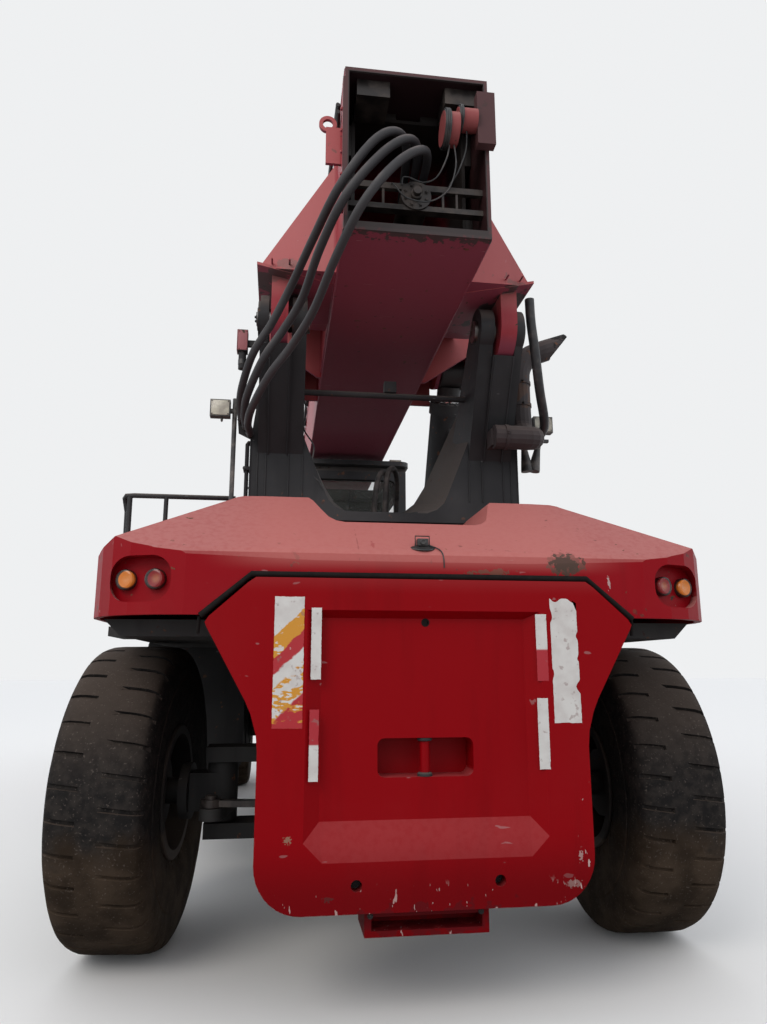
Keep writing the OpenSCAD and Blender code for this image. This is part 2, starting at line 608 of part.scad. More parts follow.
module door() {
    difference() {
        side_plate(cab_half - 60, cab_half)
            polygon(round_rect(cab_back + 405, cab_floor + 65, cab_front - 325, 3395, 40));
        side_plate(cab_half - 61, cab_half + 1)
            polygon(round_rect(cab_back + 460, cab_floor + 350, cab_front - 380, 3340, 70));
    }
    // Bar handle and the ribs of the lower panel
    tube([[cab_half - 2, cab_front - 352, 2230], [cab_half + 45, cab_front - 352, 2230],
        [cab_half + 45, cab_front - 352, 2660], [cab_half - 2, cab_front - 352, 2660]], 11);
    for (z = [1860, 1930]) span([cab_half - 1, cab_back + 480, z], [cab_half + 8, cab_front - 400, z + 26]);
    for (z = hinge_z) difference() {
        union() {
            translate([hinge_x, hinge_y, z + 0.3]) cylinder(h = 100, r = 18);
            span([cab_half + 0.3, hinge_y, z + 0.3], [hinge_x, hinge_y + 80, z + 100.3]);
            span([cab_half - 1, hinge_y + 30, z + 0.3], [hinge_x, hinge_y + 80, z + 100.3]);
        }
        translate([hinge_x, hinge_y, z - 50]) cylinder(h = 200, r = 10.05);
    }
}

module door_glass() {
    side_plate(cab_half - 35, cab_half - 25)
        polygon(round_rect(cab_back + 460.3, cab_floor + 350.3, cab_front - 380.3, 3339.7, 70));
}

module cab_door_left() placed() color(black) mirror([1, 0, 0]) door();
module cab_door_right() placed() color(black) door();
module door_glass_left() placed() color([0.2, 0.25, 0.28, 0.4]) mirror([1, 0, 0]) door_glass();
module door_glass_right() placed() color([0.2, 0.25, 0.28, 0.4]) door_glass();

module outer_boom() placed() color(red) {
    hw = boom_width / 2;
    z0 = boom_underside;
    difference() {
        union() {
            span([-hw, boom_back, z0], [hw, boom_front, boom_top]);
            // Bands round the front mouth
            span([-hw - 18, boom_front - 260, z0 - 18], [hw + 18, boom_front - 20, boom_top + 18]);
            both_sides() {
                // Ear on the pivot
                side_plate(ear[0], ear[1]) {
                    polygon([[-pivot_back - ear_radius, pivot_height + 210],
                        [-pivot_back - ear_radius, pivot_height],
                        [-pivot_back + ear_radius, pivot_height],
                        [60, pivot_height + 320], [-300, pivot_height + 370]]);
                    translate([-pivot_back, pivot_height]) circle(r = ear_radius);
                }
                // Pivot box that stands out from the boom's side
                intersection() {
                    rear_plate(-620, 1300) polygon([[hw - 1, pivot_height + 122],
                        [833, pivot_height + 220], [hw - 1, pivot_height + 840]]);
                    translate([0, 0, pivot_height]) side_plate(hw - 2, 840) polygon([[-640, 110],
                        [50, 120], [490, 278], [925, 486], [1250, 750], [1250, 870], [-640, 870]]);
                    linear_extrude(5000) polygon([[hw - 2, -610], [840, -430], [840, 1260], [hw - 2, 1260]]);
                }
                // Lip along the box's lower edge
                rear_plate(-470, 60) polygon([[hw - 1, pivot_height + 118], [845, pivot_height + 218],
                    [845, pivot_height + 236], [hw - 1, pivot_height + 136]]);
                // Bracket of the lift cylinder: rear plate, two cheeks and a roof
                rear_plate(lift_eye_y - 315, lift_eye_y - 290) polygon([[hw - 1, z0], [420, z0],
                    [826, 3940], [800, 4080], [hw - 1, 4150]]);
                for (x = [[lift_offset - 140, lift_offset - 112], [lift_offset + 112, lift_offset + 126]])
                    side_plate(x[0], x[1]) polygon([[lift_eye_y - 295, 3930], [lift_eye_y - 200, 3820],
                        [lift_eye_y, 3735], [lift_eye_y + 130, 3780], [1900, 4060], [1900, 4100],
                        [lift_eye_y - 295, 4100]]);
                side_plate(hw - 1, lift_offset + 126)
                    polygon([[lift_eye_y - 295, 4070], [1900, 4070], [1960, 4110], [lift_eye_y - 295, 4110]]);
                side_plate(hw - 1, lift_offset - 139)
                    polygon([[1400, z0 + 2], [1425, z0 + 2], [1425, 4080], [1400, 4080]]);
            }
            // Lug ring on the left side of the tail
            span([-480, -1010, 4110], [-hw + 1, -990, 4330]);
            translate([-470, -1000, 4350]) rotate([90, 0, 0]) difference() {
                cylinder(h = 20, r = 48, center = true);
                cylinder(h = 22, r = 28, center = true);
            }
            // Guide strip with holes along the left rear edge
            span([-hw - 10, boom_back, z0 + 120], [-hw + 1, boom_back + 60, boom_top - 60]);
        }
        span([-hw + boom_wall, boom_back - 1, z0 + 47], [hw - boom_wall, boom_back + 50, boom_top - boom_wall]);
        span([-hw + boom_wall, boom_back + 49, z0 + boom_wall],
            [hw - boom_wall, boom_front - 250, boom_top - boom_wall]);
        span([-hw + boom_wall + boom_gap - 0.3, boom_back + 60, z0 + boom_wall + boom_gap - 0.3],
            [hw - boom_wall - boom_gap + 0.3, boom_front + 1, boom_top - boom_wall - boom_gap + 0.3]);
        x_rod(-900, 900, -pivot_back, pivot_height, pivot_pin_radius + 0.05);
        for (z = [3990, 4120, 4250, 4380]) translate([-hw - 20, boom_back + 30, z])
            rotate([0, 90, 0]) cylinder(h = 60, r = 9);
    }
}

module boom_pins() placed() color(steel) both_sides() {
    x_rod(fork_in[0] - 20, fork_out[1] + 20, -pivot_back, pivot_height, pivot_pin_radius);
}

module tail_reel() placed() color(red) {
    span([314, -1180, 4185], [412, -1123.3, 4500]);
    x_rod(208, 315, -1150, 4335, 62);
    x_rod(126, 209, -1150, 4270, 88);
}

module telescope_barrel() placed() color(grey) {
    translate([0, -1060, 3925]) rotate([-90, 0, 0]) cylinder(h = 6000, r = 82);
    // Frame across the tail that holds the cylinder, and its hangers
    wall = boom_width / 2 - boom_wall - 0.3;
    span([-wall, -1050, 3962], [wall, -1020, 3997]);
    span([-wall, -1050, 3842], [wall, -1000, 3872]);
    for (x = [-180, 143, 218]) span([x, -1045, 3871], [x + 12, -1025, 3963]);
    // Top wear pads of the inner boom's tail
    for (x = [[-320, -140], [165, 345]]) span([x[0], -1070, 4500], [x[1], -860, boom_top - boom_wall - 0.3]);
}

// Hoses from the boom's tail over its left edge to the clamp on the left tower
hose_routes = [
    [[-20, -700, 4130], [-50, -1060, 4195], [-130, -1195, 4190], [-255, -1225, 4090],
        [-418, -1165, 3860], [-535, -905, 3720], [-640, -620, 3600], [-745, -500, 3420],
        [-850, -420, 3260], [-915, -240, 3130], [-935, -80, 3070],
        [-928, -15, 3006], [-928, 0, 3006], [-928, 15, 3006], [-928, 30, 3006]],
    [[20, -700, 4110], [10, -1060, 4165], [-60, -1200, 4150], [-200, -1235, 4030],
        [-385, -1205, 3790], [-500, -985, 3620], [-580, -700, 3480], [-680, -560, 3350],
        [-790, -480, 3200], [-880, -300, 3050], [-905, -110, 3000],
        [-900, -25, 2960], [-900, -10, 2960], [-900, 5, 2960], [-900, 20, 2960]],
    [[60, -700, 4090], [60, -1060, 4125], [0, -1215, 4080], [-140, -1262, 3950],
        [-300, -1250, 3730], [-420, -1050, 3540], [-520, -780, 3370], [-630, -600, 3240],
        [-750, -500, 3100], [-850, -330, 2960], [-880, -140, 2925],
        [-874, -35, 2914], [-874, -20, 2914], [-874, -5, 2914], [-874, 10, 2914]]];
module boom_hoses() placed() color(black) {
    for (q = hose_routes) tube(smooth(q, 4), 24, 10);
}

module cable_bundle() placed() color(black) {
    tube(smooth([[886, -262, 3800], [890, -262, 3640], [912, -250, 3450], [960, -170, 3230],
        [1030, -40, 3080], [1072, 100, 3042],
        [1074, 230, 3032], [1074, 250, 3032], [1074, 270, 3032], [1074, 289.7, 3032]], 5), 34, 10);
}

module inner_boom() placed() color(red) {
    hw = boom_width / 2 - boom_wall - boom_gap;
    z0 = boom_underside + boom_wall + boom_gap;
    z1 = boom_top - boom_wall - boom_gap;
    difference() {
        union() {
            span([-hw, 900, z0], [hw, spreader_y - 750, z1]);
            // Rear wear pads
            g = boom_gap - 0.3;
            span([-hw - g, 900, z0 - g], [hw + g, 1100, z1 + g]);
        }
        span([-hw + 20, 899, z0 + 20], [hw - 20, spreader_y - 780, z1 - 20]);
    }
    both_sides() difference() {
        side_plate(300, 345) {
            polygon([[spreader_y - 800, z0], [spreader_y - 200, hanger_pin_z - 60],
                [spreader_y + 150, hanger_pin_z + 100], [spreader_y - 600, z1], [spreader_y - 800, z1]]);
            translate([spreader_y, hanger_pin_z]) circle(r = 180);
        }
        x_rod(200, 400, spreader_y, hanger_pin_z, 60.05);
    }
}

module hanger_yoke() placed() color(red) {
    x_rod(-360, 360, spreader_y, hanger_pin_z, 60);
    x_rod(-290, 290, spreader_y, hanger_pin_z, 120);
    both_sides() side_plate(150, 250) polygon([[spreader_y - 230, 2980], [spreader_y + 230, 2980],
        [spreader_y + 110, hanger_pin_z], [spreader_y - 110, hanger_pin_z]]);
    span([-500, spreader_y - 330, 2930], [500, spreader_y + 330, 2990]);
    translate([0, spreader_y, 2800]) cylinder(h = 131, r = 480);
}

module rotator_carriage() placed() color(black) {
    // Slewing ring and its platform with cut corners
    translate([0, spreader_y, 2699]) rotate_extrude() polygon([[0, 0], [600, 0], [600, 40], [560, 40],
        [560, 100.7], [0, 100.7]]);
    translate([0, spreader_y, 2590.3]) linear_extrude(109.7) polygon([[-700, -440], [-580, -560],
        [580, -560], [700, -440], [700, 440], [580, 560], [-580, 560], [-700, 440]]);
    // Two slewing motors
    for (s = [-1, 1]) translate([s * 650, spreader_y + s * 250, 2699]) {
        cylinder(h = 60, r = 95);
        cylinder(h = 230, r = 70);
    }
}

module spreader_frame() placed() color(red) {
    for (s = [-1, 1]) difference() {
        span([-spreader_half, spreader_y + s * 330 - 170, 2190],
            [spreader_half, spreader_y + s * 330 + 170, 2590]);
        span([-spreader_half - 1, spreader_y + s * 330 - 120.3, 2239.7],
            [spreader_half + 1, spreader_y + s * 330 + 120.3, 2540.3]);
    }
    for (x = [-1500, 1500]) span([x - 100, spreader_y - 180, 2200], [x + 100, spreader_y + 180, 2580]);
    // Collars at the open ends, and gussets along the outer walls
    for (s = [-1, 1]) for (t = [-1, 1]) {
        difference() {
            span([s * (spreader_half - 60) - 60, spreader_y + t * 330 - 190, 2170],
                [s * (spreader_half - 60) + 60, spreader_y + t * 330 + 190, 2589]);
            span([s * spreader_half - 200, spreader_y + t * 330 - 150, 2220],
                [s * spreader_half + 200, spreader_y + t * 330 + 150, 2560]);
        }
    }
    for (x = [-2100, -1100, 1100, 2100]) for (t = [-1, 1]) translate([x, spreader_y + t * 499, 2191])
        rotate([0, -90, 0]) linear_extrude(14, center = true)
            polygon([[0, 0], [0, t * 60], [300, t * 12], [300, 0]]);
}

// One sliding beam with the end beam, its corner housings and twistlocks
module sliding_beam(y) {
    reach = spreader_span / 2;
    half = end_beam_length / 2;
    difference() {
        span([200, y - 120, 2240], [reach - 250, y + 120, 2540]);
        span([199, y - 100, 2260], [reach - 500, y + 100, 2520]);
    }
    rear_plate(spreader_y - half + 40, spreader_y + half - 40) polygon([[reach - 270, 2130],
        [reach - 245, 2110], [reach - 25, 2110], [reach, 2135], [reach, 2420], [reach - 60, 2480],
        [reach - 270, 2480]]);
    for (s = [-1, 1]) translate([reach - 102, spreader_y + s * 1129.5, 0]) {
        translate([-85, -89, 2060]) cube([187, 178, 330]);
        // Twistlock: collar, neck and head turned across
        translate([0, 0, 2030]) cylinder(h = 31, r = 50);
        translate([0, 0, 1985]) cylinder(h = 46, r = 29);
        intersection() {
            translate([0, 0, 1945]) rotate_extrude()
                polygon([[0, 0], [18, 0], [50, 26], [50, 41], [30, 50], [0, 50]]);
            translate([-30, -52, 1940]) cube([60, 104, 60]);
        }
        // Gather guide, folded up
        translate([66, s * 70 - 8, 2380]) cube([36, 16, 150]);
    }
}

module spreader_beam_right() placed() color(black) sliding_beam(spreader_y + 330);
module spreader_beam_left() placed() color(black)
    mirror([1, 0, 0]) sliding_beam(spreader_y - 330);

// Lift cylinders, drawn along +X from the foot pin and then turned
module on_cylinder(side) {
    translate([side * lift_offset, lift_foot_y, lift_foot_z])
        rotate([0, 0, 90]) rotate([0, -lift_angle, 0]) children();
}
module lift_barrel() {
    difference() {
        union() {
            rotate([90, 0, 0]) translate([0, 0, -90]) cylinder(h = 180, r = 120);
            translate([0, -85, -100]) cube([300, 170, 200]);
            translate([290, 0, 0]) rotate([0, 90, 0]) cylinder(h = lift_len - 560, r = lift_barrel_radius);
            translate([lift_len - 330, 0, 0]) rotate([0, 90, 0]) cylinder(h = 90, r = lift_barrel_radius + 14);
        }
        rotate([90, 0, 0]) translate([0, 0, -130]) cylinder(h = 260, r = 60.05);
        translate([400, 0, 0]) rotate([0, 90, 0]) cylinder(h = lift_len, r = lift_rod_radius + 0.05);
    }
}
module lift_rod() {
    difference() {
        union() {
            translate([500, 0, 0]) rotate([0, 90, 0]) cylinder(h = lift_len - 600, r = lift_rod_radius);
            translate([lift_len, 0, 0]) rotate([90, 0, 0]) translate([0, 0, -90])
                cylinder(h = 180, r = 118);
        }
        translate([lift_len, 0, 0]) rotate([90, 0, 0]) translate([0, 0, -130])
            cylinder(h = 260, r = 65);
    }
}
module lift_barrel_left() placed() color(red) on_cylinder(-1) lift_barrel();
module lift_barrel_right() placed() color(red) on_cylinder(1) lift_barrel();
module lift_rod_left() placed() color(steel) on_cylinder(-1) lift_rod();
module lift_rod_right() placed() color(steel) on_cylinder(1) lift_rod();

module steered(side) {
    translate([side * kingpin_x, 0, 0]) rotate([0, 0, side < 0 ? steer_rest_left : steer_rest_right])
        translate([-side * kingpin_x, 0, 0]) children();
}

// Knuckle with its arm, drawn for the right side
module knuckle() {
    difference() {
        union() {
            translate([kingpin_x, 0, 645]) cylinder(h = 310, r = 85);
            span([kingpin_x, -85, 700], [1150, 85, 900]);
            x_rod(1100, 1440, 0, r_tyre, 70);
            x_rod(1120, 1170, 0, r_tyre, 150);
            translate([kingpin_x, 0, 700]) linear_extrude(60) {
                polygon([[-80, 0], [80, 0], [60, -steer_arm], [-60, -steer_arm]]);
                translate([0, -steer_arm]) circle(r = 60);
            }
        }
        translate([kingpin_x, 0, 500]) cylinder(h = 600, r = 45.05);
    }
}

module knuckle_left() placed() color(grey) steered(-1) mirror([1, 0, 0]) knuckle();
module knuckle_right() placed() color(grey) steered(1) knuckle();

module tyre(x) {
    w = tyre_width / 2;
    translate([x, 0, r_tyre]) rotate([0, 90, 0]) rotate_extrude($fn = 72)
        polygon([[rim_diameter / 2, -w + 62], [rim_diameter / 2 + 40, -w + 35], [r_tyre - 330, -w + 6],
            [r_tyre - 230, -w], [r_tyre - 120, -w + 4], [r_tyre - 60, -w + 12], [r_tyre - 22, -w + 34],
            [r_tyre - 4, -w + 78], [r_tyre, -w + 130], [r_tyre, w - 130], [r_tyre - 4, w - 78],
            [r_tyre - 22, w - 34], [r_tyre - 60, w - 12], [r_tyre - 120, w - 4], [r_tyre - 230, w],
            [r_tyre - 330, w - 6], [rim_diameter / 2 + 40, w - 35], [rim_diameter / 2, w - 62]]);
}
// Rim with flanges, and its dished disc on one side of the middle
module rim(x, disc) {
    w = tyre_width / 2;
    r = rim_diameter / 2 - 0.3;
    f = disc < 0 ? -1 : 1;
    translate([x, 0, r_tyre]) rotate([0, 90, 0]) rotate_extrude($fn = 72) {
        polygon([[r - 15, -w + 22], [r + 30, -w + 22], [r + 35.8, -w + 28], [r + 35.8, -w + 36],
            [r, -w + 60.5], [r, w - 60.5], [r + 35.8, w - 36], [r + 35.8, w - 28], [r + 30, w - 22],
            [r - 15, w - 22]]);
        polygon([[139, disc - 15], [230, disc - 15], [r - 14, disc - f * 45 - 15],
            [r - 14, disc - f * 45 + 15], [230, disc + 15], [139, disc + 15]]);
    }
}

module rear_rim() {
    rim(rear_track / 2, 60);
    // Hub with its stepped cap
    difference() {
        translate([rear_track / 2 - 140, 0, r_tyre]) rotate([0, 90, 0]) rotate_extrude()
            polygon([[0, 0], [190, 0], [190, 40], [140, 60], [140, 180], [205, 180], [205, 222],
                [120, 222], [110, 290], [60, 305], [0, 305]]);
        x_rod(0, 1445, 0, r_tyre, 70.05);
    }
}

module rear_tyre_left() placed() color(black) steered(-1) tyre(-rear_track / 2);
module rear_tyre_right() placed() color(black) steered(1) tyre(rear_track / 2);
module rear_rim_left() placed() color(red) steered(-1) mirror([1, 0, 0]) rear_rim();
module rear_rim_right() placed() color(red) steered(1) rear_rim();

module front_tyres() {
    for (s = [-0.5, 0.5]) translate([0, wheelbase, 0]) tyre(front_track / 2 + s * twin_spacing);
}
module front_rims() translate([0, wheelbase, 0]) {
    rim(front_track / 2 - twin_spacing / 2, 150);
    rim(front_track / 2 + twin_spacing / 2, -150);
    // Hub, planetary end cover and spacer band between the rims
    difference() {
        translate([1250, 0, r_tyre]) rotate([0, 90, 0]) rotate_extrude()
            polygon([[0, 0], [165, 0], [165, 560], [215, 560], [215, 596], [150, 610], [140, 640], [0, 650]]);
        x_rod(1200, 1835, 0, r_tyre, 110.05);
    }
    difference() {
        x_rod(front_track / 2 - 130, front_track / 2 + 130, 0, r_tyre, rim_diameter / 2 - 20);
        x_rod(1200, 1835, 0, r_tyre, 164);
    }
}

module front_tyres_left() placed() color(black) mirror([1, 0, 0]) front_tyres();
module front_tyres_right() placed() color(black) front_tyres();
module front_rims_left() placed() color(red) mirror([1, 0, 0]) front_rims();
module front_rims_right() placed() color(red) front_rims();

chassis_frame();
rear_towers();
counterweight();
rear_hood();
tail_lamps();
drive_axle();
steer_axle();
steer_cylinder();
steer_rod();
engine_block();
engine_hood();
side_tanks();
front_fenders();
side_decks();
handrails();
exhaust_stack();
work_lamps();
tower_fittings();
mirrors();
cab_shell();
cab_glass();
cab_seat();
cab_console();
cab_door_left();
cab_door_right();
door_glass_left();
door_glass_right();
outer_boom();
boom_pins();
tail_reel();
telescope_barrel();
boom_hoses();
cable_bundle();
inner_boom();
hanger_yoke();
rotator_carriage();
spreader_frame();
spreader_beam_left();
spreader_beam_right();
lift_barrel_left();
lift_barrel_right();
lift_rod_left();
lift_rod_right();
knuckle_left();
knuckle_right();
rear_tyre_left();
rear_tyre_right();
rear_rim_left();
rear_rim_right();
front_tyres_left();
front_tyres_right();
front_rims_left();
front_rims_right();
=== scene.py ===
import math
import random

import bmesh
import bpy
from mathutils import Euler, Matrix, Vector, noise


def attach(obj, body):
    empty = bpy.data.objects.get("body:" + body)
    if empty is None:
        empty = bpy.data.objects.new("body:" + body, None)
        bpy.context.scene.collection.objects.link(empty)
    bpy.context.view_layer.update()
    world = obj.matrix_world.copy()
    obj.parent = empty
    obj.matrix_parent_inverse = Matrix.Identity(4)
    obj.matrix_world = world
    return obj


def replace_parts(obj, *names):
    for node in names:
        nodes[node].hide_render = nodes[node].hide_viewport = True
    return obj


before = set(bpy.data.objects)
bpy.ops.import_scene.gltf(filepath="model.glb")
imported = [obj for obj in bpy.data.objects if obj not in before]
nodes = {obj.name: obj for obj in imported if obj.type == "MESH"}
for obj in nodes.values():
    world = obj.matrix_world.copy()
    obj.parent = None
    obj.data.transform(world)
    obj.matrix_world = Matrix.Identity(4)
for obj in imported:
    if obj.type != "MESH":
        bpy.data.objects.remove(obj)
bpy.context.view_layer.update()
random.seed(356)

# The view: low behind the machine and a little left of its middle, looking up and right.
# A pale floor, an even pale sky and one broad soft lamp high on the left.
look_yaw, look_pitch, look_roll = 0.137, 0.2081, -0.0011
ahead = Vector((math.sin(look_yaw) * math.cos(look_pitch), math.cos(look_yaw) * math.cos(look_pitch),
                math.sin(look_pitch)))
level = Vector((math.cos(look_yaw), -math.sin(look_yaw), 0))
above = level.cross(ahead)
right = level * math.cos(look_roll) + above * math.sin(look_roll)
top = above * math.cos(look_roll) - level * math.sin(look_roll)
lens = bpy.data.cameras.new("view")
lens.sensor_fit = "VERTICAL"
lens.sensor_height = 36
lens.lens = 26.37
lens.clip_end = 400
camera = bpy.data.objects.new("view", lens)
view_place = (-0.6581, -9.0413, 1.458)
camera.matrix_world = Matrix.Translation(view_place) @ Matrix((right, top, -ahead)).transposed().to_4x4()
bpy.context.collection.objects.link(camera)
bpy.context.scene.camera = camera
bpy.context.scene.view_settings.view_transform = "Standard"


class Flow:
    """One output of a node in a finish. Arithmetic on it adds Math nodes."""

    def __init__(self, finish, socket):
        self.finish = finish
        self.socket = socket

    def math(self, operation, first, second=0.0):
        return self.finish.node("ShaderNodeMath", {"operation": operation}, {0: first, 1: second})

    def __add__(self, other):
        return self.math("ADD", self, other)

    def __radd__(self, other):
        return self.math("ADD", other, self)

    def __sub__(self, other):
        return self.math("SUBTRACT", self, other)

    def __rsub__(self, other):
        return self.math("SUBTRACT", other, self)

    def __mul__(self, other):
        return self.math("MULTIPLY", self, other)

    def __rmul__(self, other):
        return self.math("MULTIPLY", other, self)

    def __truediv__(self, other):
        return self.math("DIVIDE", self, other)

    def __abs__(self):
        return self.math("ABSOLUTE", self)

    def saw(self):
        """The fraction past the last whole number."""
        return self.math("FRACT", self)

    def root(self):
        return self.math("SQRT", self)

    def band(self, low, high):
        """0 at low, 1 at high, smooth between. Falls instead when low is the larger."""
        return self.finish.node("ShaderNodeMapRange", {"interpolation_type": "SMOOTHSTEP"},
                                {0: self, 1: low, 2: high, 3: 0.0, 4: 1.0})


class Finish:
    """A material whose pattern is worked out from nodes."""

    def __init__(self, name, colour, roughness, metallic=0.0, **sockets):
        self.material = bpy.data.materials.new(name)
        self.material.use_nodes = True
        self.tree = self.material.node_tree
        self.shader = self.tree.nodes["Principled BSDF"]
        self.set("Base Color", (*colour, 1))
        self.set("Roughness", roughness)
        self.set("Metallic", metallic)
        for socket, value in sockets.items():
            self.set(socket.replace("_", " "), value)

    def set(self, socket, value):
        if isinstance(value, Flow):
            self.tree.links.new(value.socket, self.shader.inputs[socket])
        else:
            self.shader.inputs[socket].default_value = value

    def node(self, kind, settings, sockets, output=0):
        made = self.tree.nodes.new(kind)
        for name, value in settings.items():
            setattr(made, name, value)
        for name, value in sockets.items():
            if isinstance(value, Flow):
                self.tree.links.new(value.socket, made.inputs[name])
            else:
                made.inputs[name].default_value = value
        return Flow(self, made.outputs[output])

    def place(self, scale=(1, 1, 1)):
        where = self.node("ShaderNodeTexCoord", {}, {}, "Object")
        return self.node("ShaderNodeMapping", {}, {"Vector": where, "Scale": scale})

    def part(self, vector, axis):
        return self.node("ShaderNodeSeparateXYZ", {}, {0: vector}, axis)

    def noise(self, scale, detail=4, stretch=(1, 1, 1), roughness=0.55):
        return self.node("ShaderNodeTexNoise", {}, {"Vector": self.place(stretch), "Scale": scale,
                                                    "Detail": detail, "Roughness": roughness})

    def facing_up(self):
        return self.part(self.node("ShaderNodeTexCoord", {}, {}, "Normal"), "Z")

    def spot(self, middle, reach, ragged=0.35, grain=9):
        """1 inside a ragged ellipsoid round a place, 0 outside."""
        where = self.node("ShaderNodeTexCoord", {}, {}, "Object")
        near = self.node("ShaderNodeMapping", {"vector_type": "TEXTURE"},
                         {"Vector": where, "Location": middle, "Scale": reach})
        away = self.node("ShaderNodeVectorMath", {"operation": "LENGTH"}, {0: near}, "Value")
        return (away + (self.noise(grain, 5) - 0.5) * ragged * 2.0).band(1.06, 0.94)

    def mix(self, share, first, second):
        first = first if isinstance(first, Flow) else (*first, 1)
        second = second if isinstance(second, Flow) else (*second, 1)
        return self.node("ShaderNodeMix", {"data_type": "RGBA"}, {0: share, 6: first, 7: second}, 2)

    def bump(self, height, strength, distance):
        self.set("Normal", self.node("ShaderNodeBump", {}, {"Strength": strength, "Distance": distance,
                                                            "Height": height}))


def dress(finish, *names):
    """Gives CAD nodes a finish."""
    for name in names:
        mesh = nodes[name].data
        mesh.materials.clear()
        mesh.materials.append(finish.material)


floor_finish = Finish("pale_floor", (0.42, 0.41, 0.4), 0.9)
seen = floor_finish.node("ShaderNodeLightPath", {}, {}, "Is Camera Ray")
grain = floor_finish.noise(1.5, 6)
floor_finish.set("Base Color", floor_finish.mix(seen, floor_finish.mix(
    grain, (0.30, 0.29, 0.28), (0.36, 0.35, 0.34)), (0.80, 0.79, 0.78)))
bpy.ops.mesh.primitive_plane_add(size=240, location=(0, 0, 0))
floor = bpy.context.object
floor.name = "floor"
floor.data.materials.append(floor_finish.material)

sky = bpy.data.worlds.new("sky")
bpy.context.scene.world = sky
sky.use_nodes = True
sky_nodes, sky_links = sky.node_tree.nodes, sky.node_tree.links
rays = sky_nodes.new("ShaderNodeLightPath")
lit = sky_nodes["Background"]
lit.inputs["Color"].default_value = (0.93, 0.96, 1.0, 1)
lit.inputs["Strength"].default_value = 1.1
shown = sky_nodes.new("ShaderNodeBackground")
shown.inputs["Color"].default_value = (0.86, 0.87, 0.88, 1)
shown.inputs["Strength"].default_value = 1.0
choice = sky_nodes.new("ShaderNodeMixShader")
sky_links.new(rays.outputs["Is Camera Ray"], choice.inputs[0])
sky_links.new(lit.outputs[0], choice.inputs[1])
sky_links.new(shown.outputs[0], choice.inputs[2])
sky_links.new(choice.outputs[0], sky_nodes["World Output"].inputs[0])
softbox = bpy.data.lights.new("soft_lamp", "AREA")
softbox.shape = "DISK"
softbox.size = 9
softbox.energy = 900
softbox.color = (1.0, 0.95, 0.88)
lamp = bpy.data.objects.new("soft_lamp", softbox)
lamp.location = (-9, -16, 12)
lamp.rotation_euler = (Vector((0, -3, 2.5)) - lamp.location).to_track_quat("-Z", "Y").to_euler()
bpy.context.collection.objects.link(lamp)


# Three hydraulic hoses from the boom's tail over its left edge to sockets on the left tower:
# black rubber over steel wire, about 47 mm thick, dusty on top. They hang in their own curve.
rubber = Finish("hose_rubber", (0.035, 0.033, 0.034), 0.62)
dust = rubber.facing_up().band(-0.2, 0.9) * rubber.noise(9, 5).band(0.35, 0.65)
rubber.set("Base Color", rubber.mix(dust, (0.026, 0.024, 0.027), (0.13, 0.105, 0.10)))
rubber.bump(rubber.noise(260, 2), 0.25, 0.002)
hose_routes = (
    ((-0.020, -5.1905, 4.130), (-0.050, -5.5505, 4.195), (-0.130, -5.6855, 4.190),
     (-0.255, -5.7155, 4.090), (-0.418, -5.6555, 3.860), (-0.535, -5.3955, 3.720),
     (-0.640, -5.1105, 3.600), (-0.745, -4.9905, 3.420), (-0.850, -4.9105, 3.260),
     (-0.915, -4.7305, 3.130), (-0.935, -4.5705, 3.070), (-0.928, -4.5055, 3.006),
     (-0.928, -4.4905, 3.006), (-0.928, -4.4755, 3.006), (-0.928, -4.4605, 3.006)),
    ((0.020, -5.1905, 4.110), (0.010, -5.5505, 4.165), (-0.060, -5.6905, 4.150),
     (-0.200, -5.7255, 4.030), (-0.385, -5.6955, 3.790), (-0.500, -5.4755, 3.620),
     (-0.580, -5.1905, 3.480), (-0.680, -5.0505, 3.350), (-0.790, -4.9705, 3.200),
     (-0.880, -4.7905, 3.050), (-0.905, -4.6005, 3.000), (-0.900, -4.5155, 2.960),
     (-0.900, -4.5005, 2.960), (-0.900, -4.4855, 2.960), (-0.900, -4.4705, 2.960)),
    ((0.060, -5.1905, 4.090), (0.060, -5.5505, 4.125), (0.000, -5.7055, 4.080),
     (-0.140, -5.7525, 3.950), (-0.300, -5.7405, 3.730), (-0.420, -5.5405, 3.540),
     (-0.520, -5.2705, 3.370), (-0.630, -5.0905, 3.240), (-0.750, -4.9905, 3.100),
     (-0.850, -4.8205, 2.960), (-0.880, -4.6305, 2.925), (-0.874, -4.5255, 2.914),
     (-0.874, -4.5105, 2.914), (-0.874, -4.4955, 2.914), (-0.874, -4.4805, 2.914)))


def smooth_line(points, steps):
    """A smooth line through points, with steps to each stretch."""
    line = []
    for i in range(len(points) - 1):
        a, b, c, d = (Vector(points[k]) for k in (max(i - 1, 0), i, i + 1, min(i + 2, len(points) - 1)))
        for k in range(steps):
            t = k / steps
            line.append(0.5 * (2 * b + (c - a) * t + (2 * a - 5 * b + 4 * c - d) * t * t
                               + (3 * b - a - 3 * c + d) * t ** 3))
    return line + [Vector(points[-1])]


def round_line(name, line, radius, finish, body, sides=3):
    """A round hose, cable or bar along a line of points, riding a body."""
    curve = bpy.data.curves.new(name, "CURVE")
    curve.dimensions = "3D"
    curve.bevel_depth = radius
    curve.bevel_resolution = sides
    curve.use_fill_caps = True
    spline = curve.splines.new("POLY")
    spline.points.add(len(line) - 1)
    for point, at in zip(spline.points, line):
        point.co = (*at, 1)
    curve.materials.append(finish.material)
    made = bpy.data.objects.new(name, curve)
    bpy.context.collection.objects.link(made)
    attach(made, body)
    return made


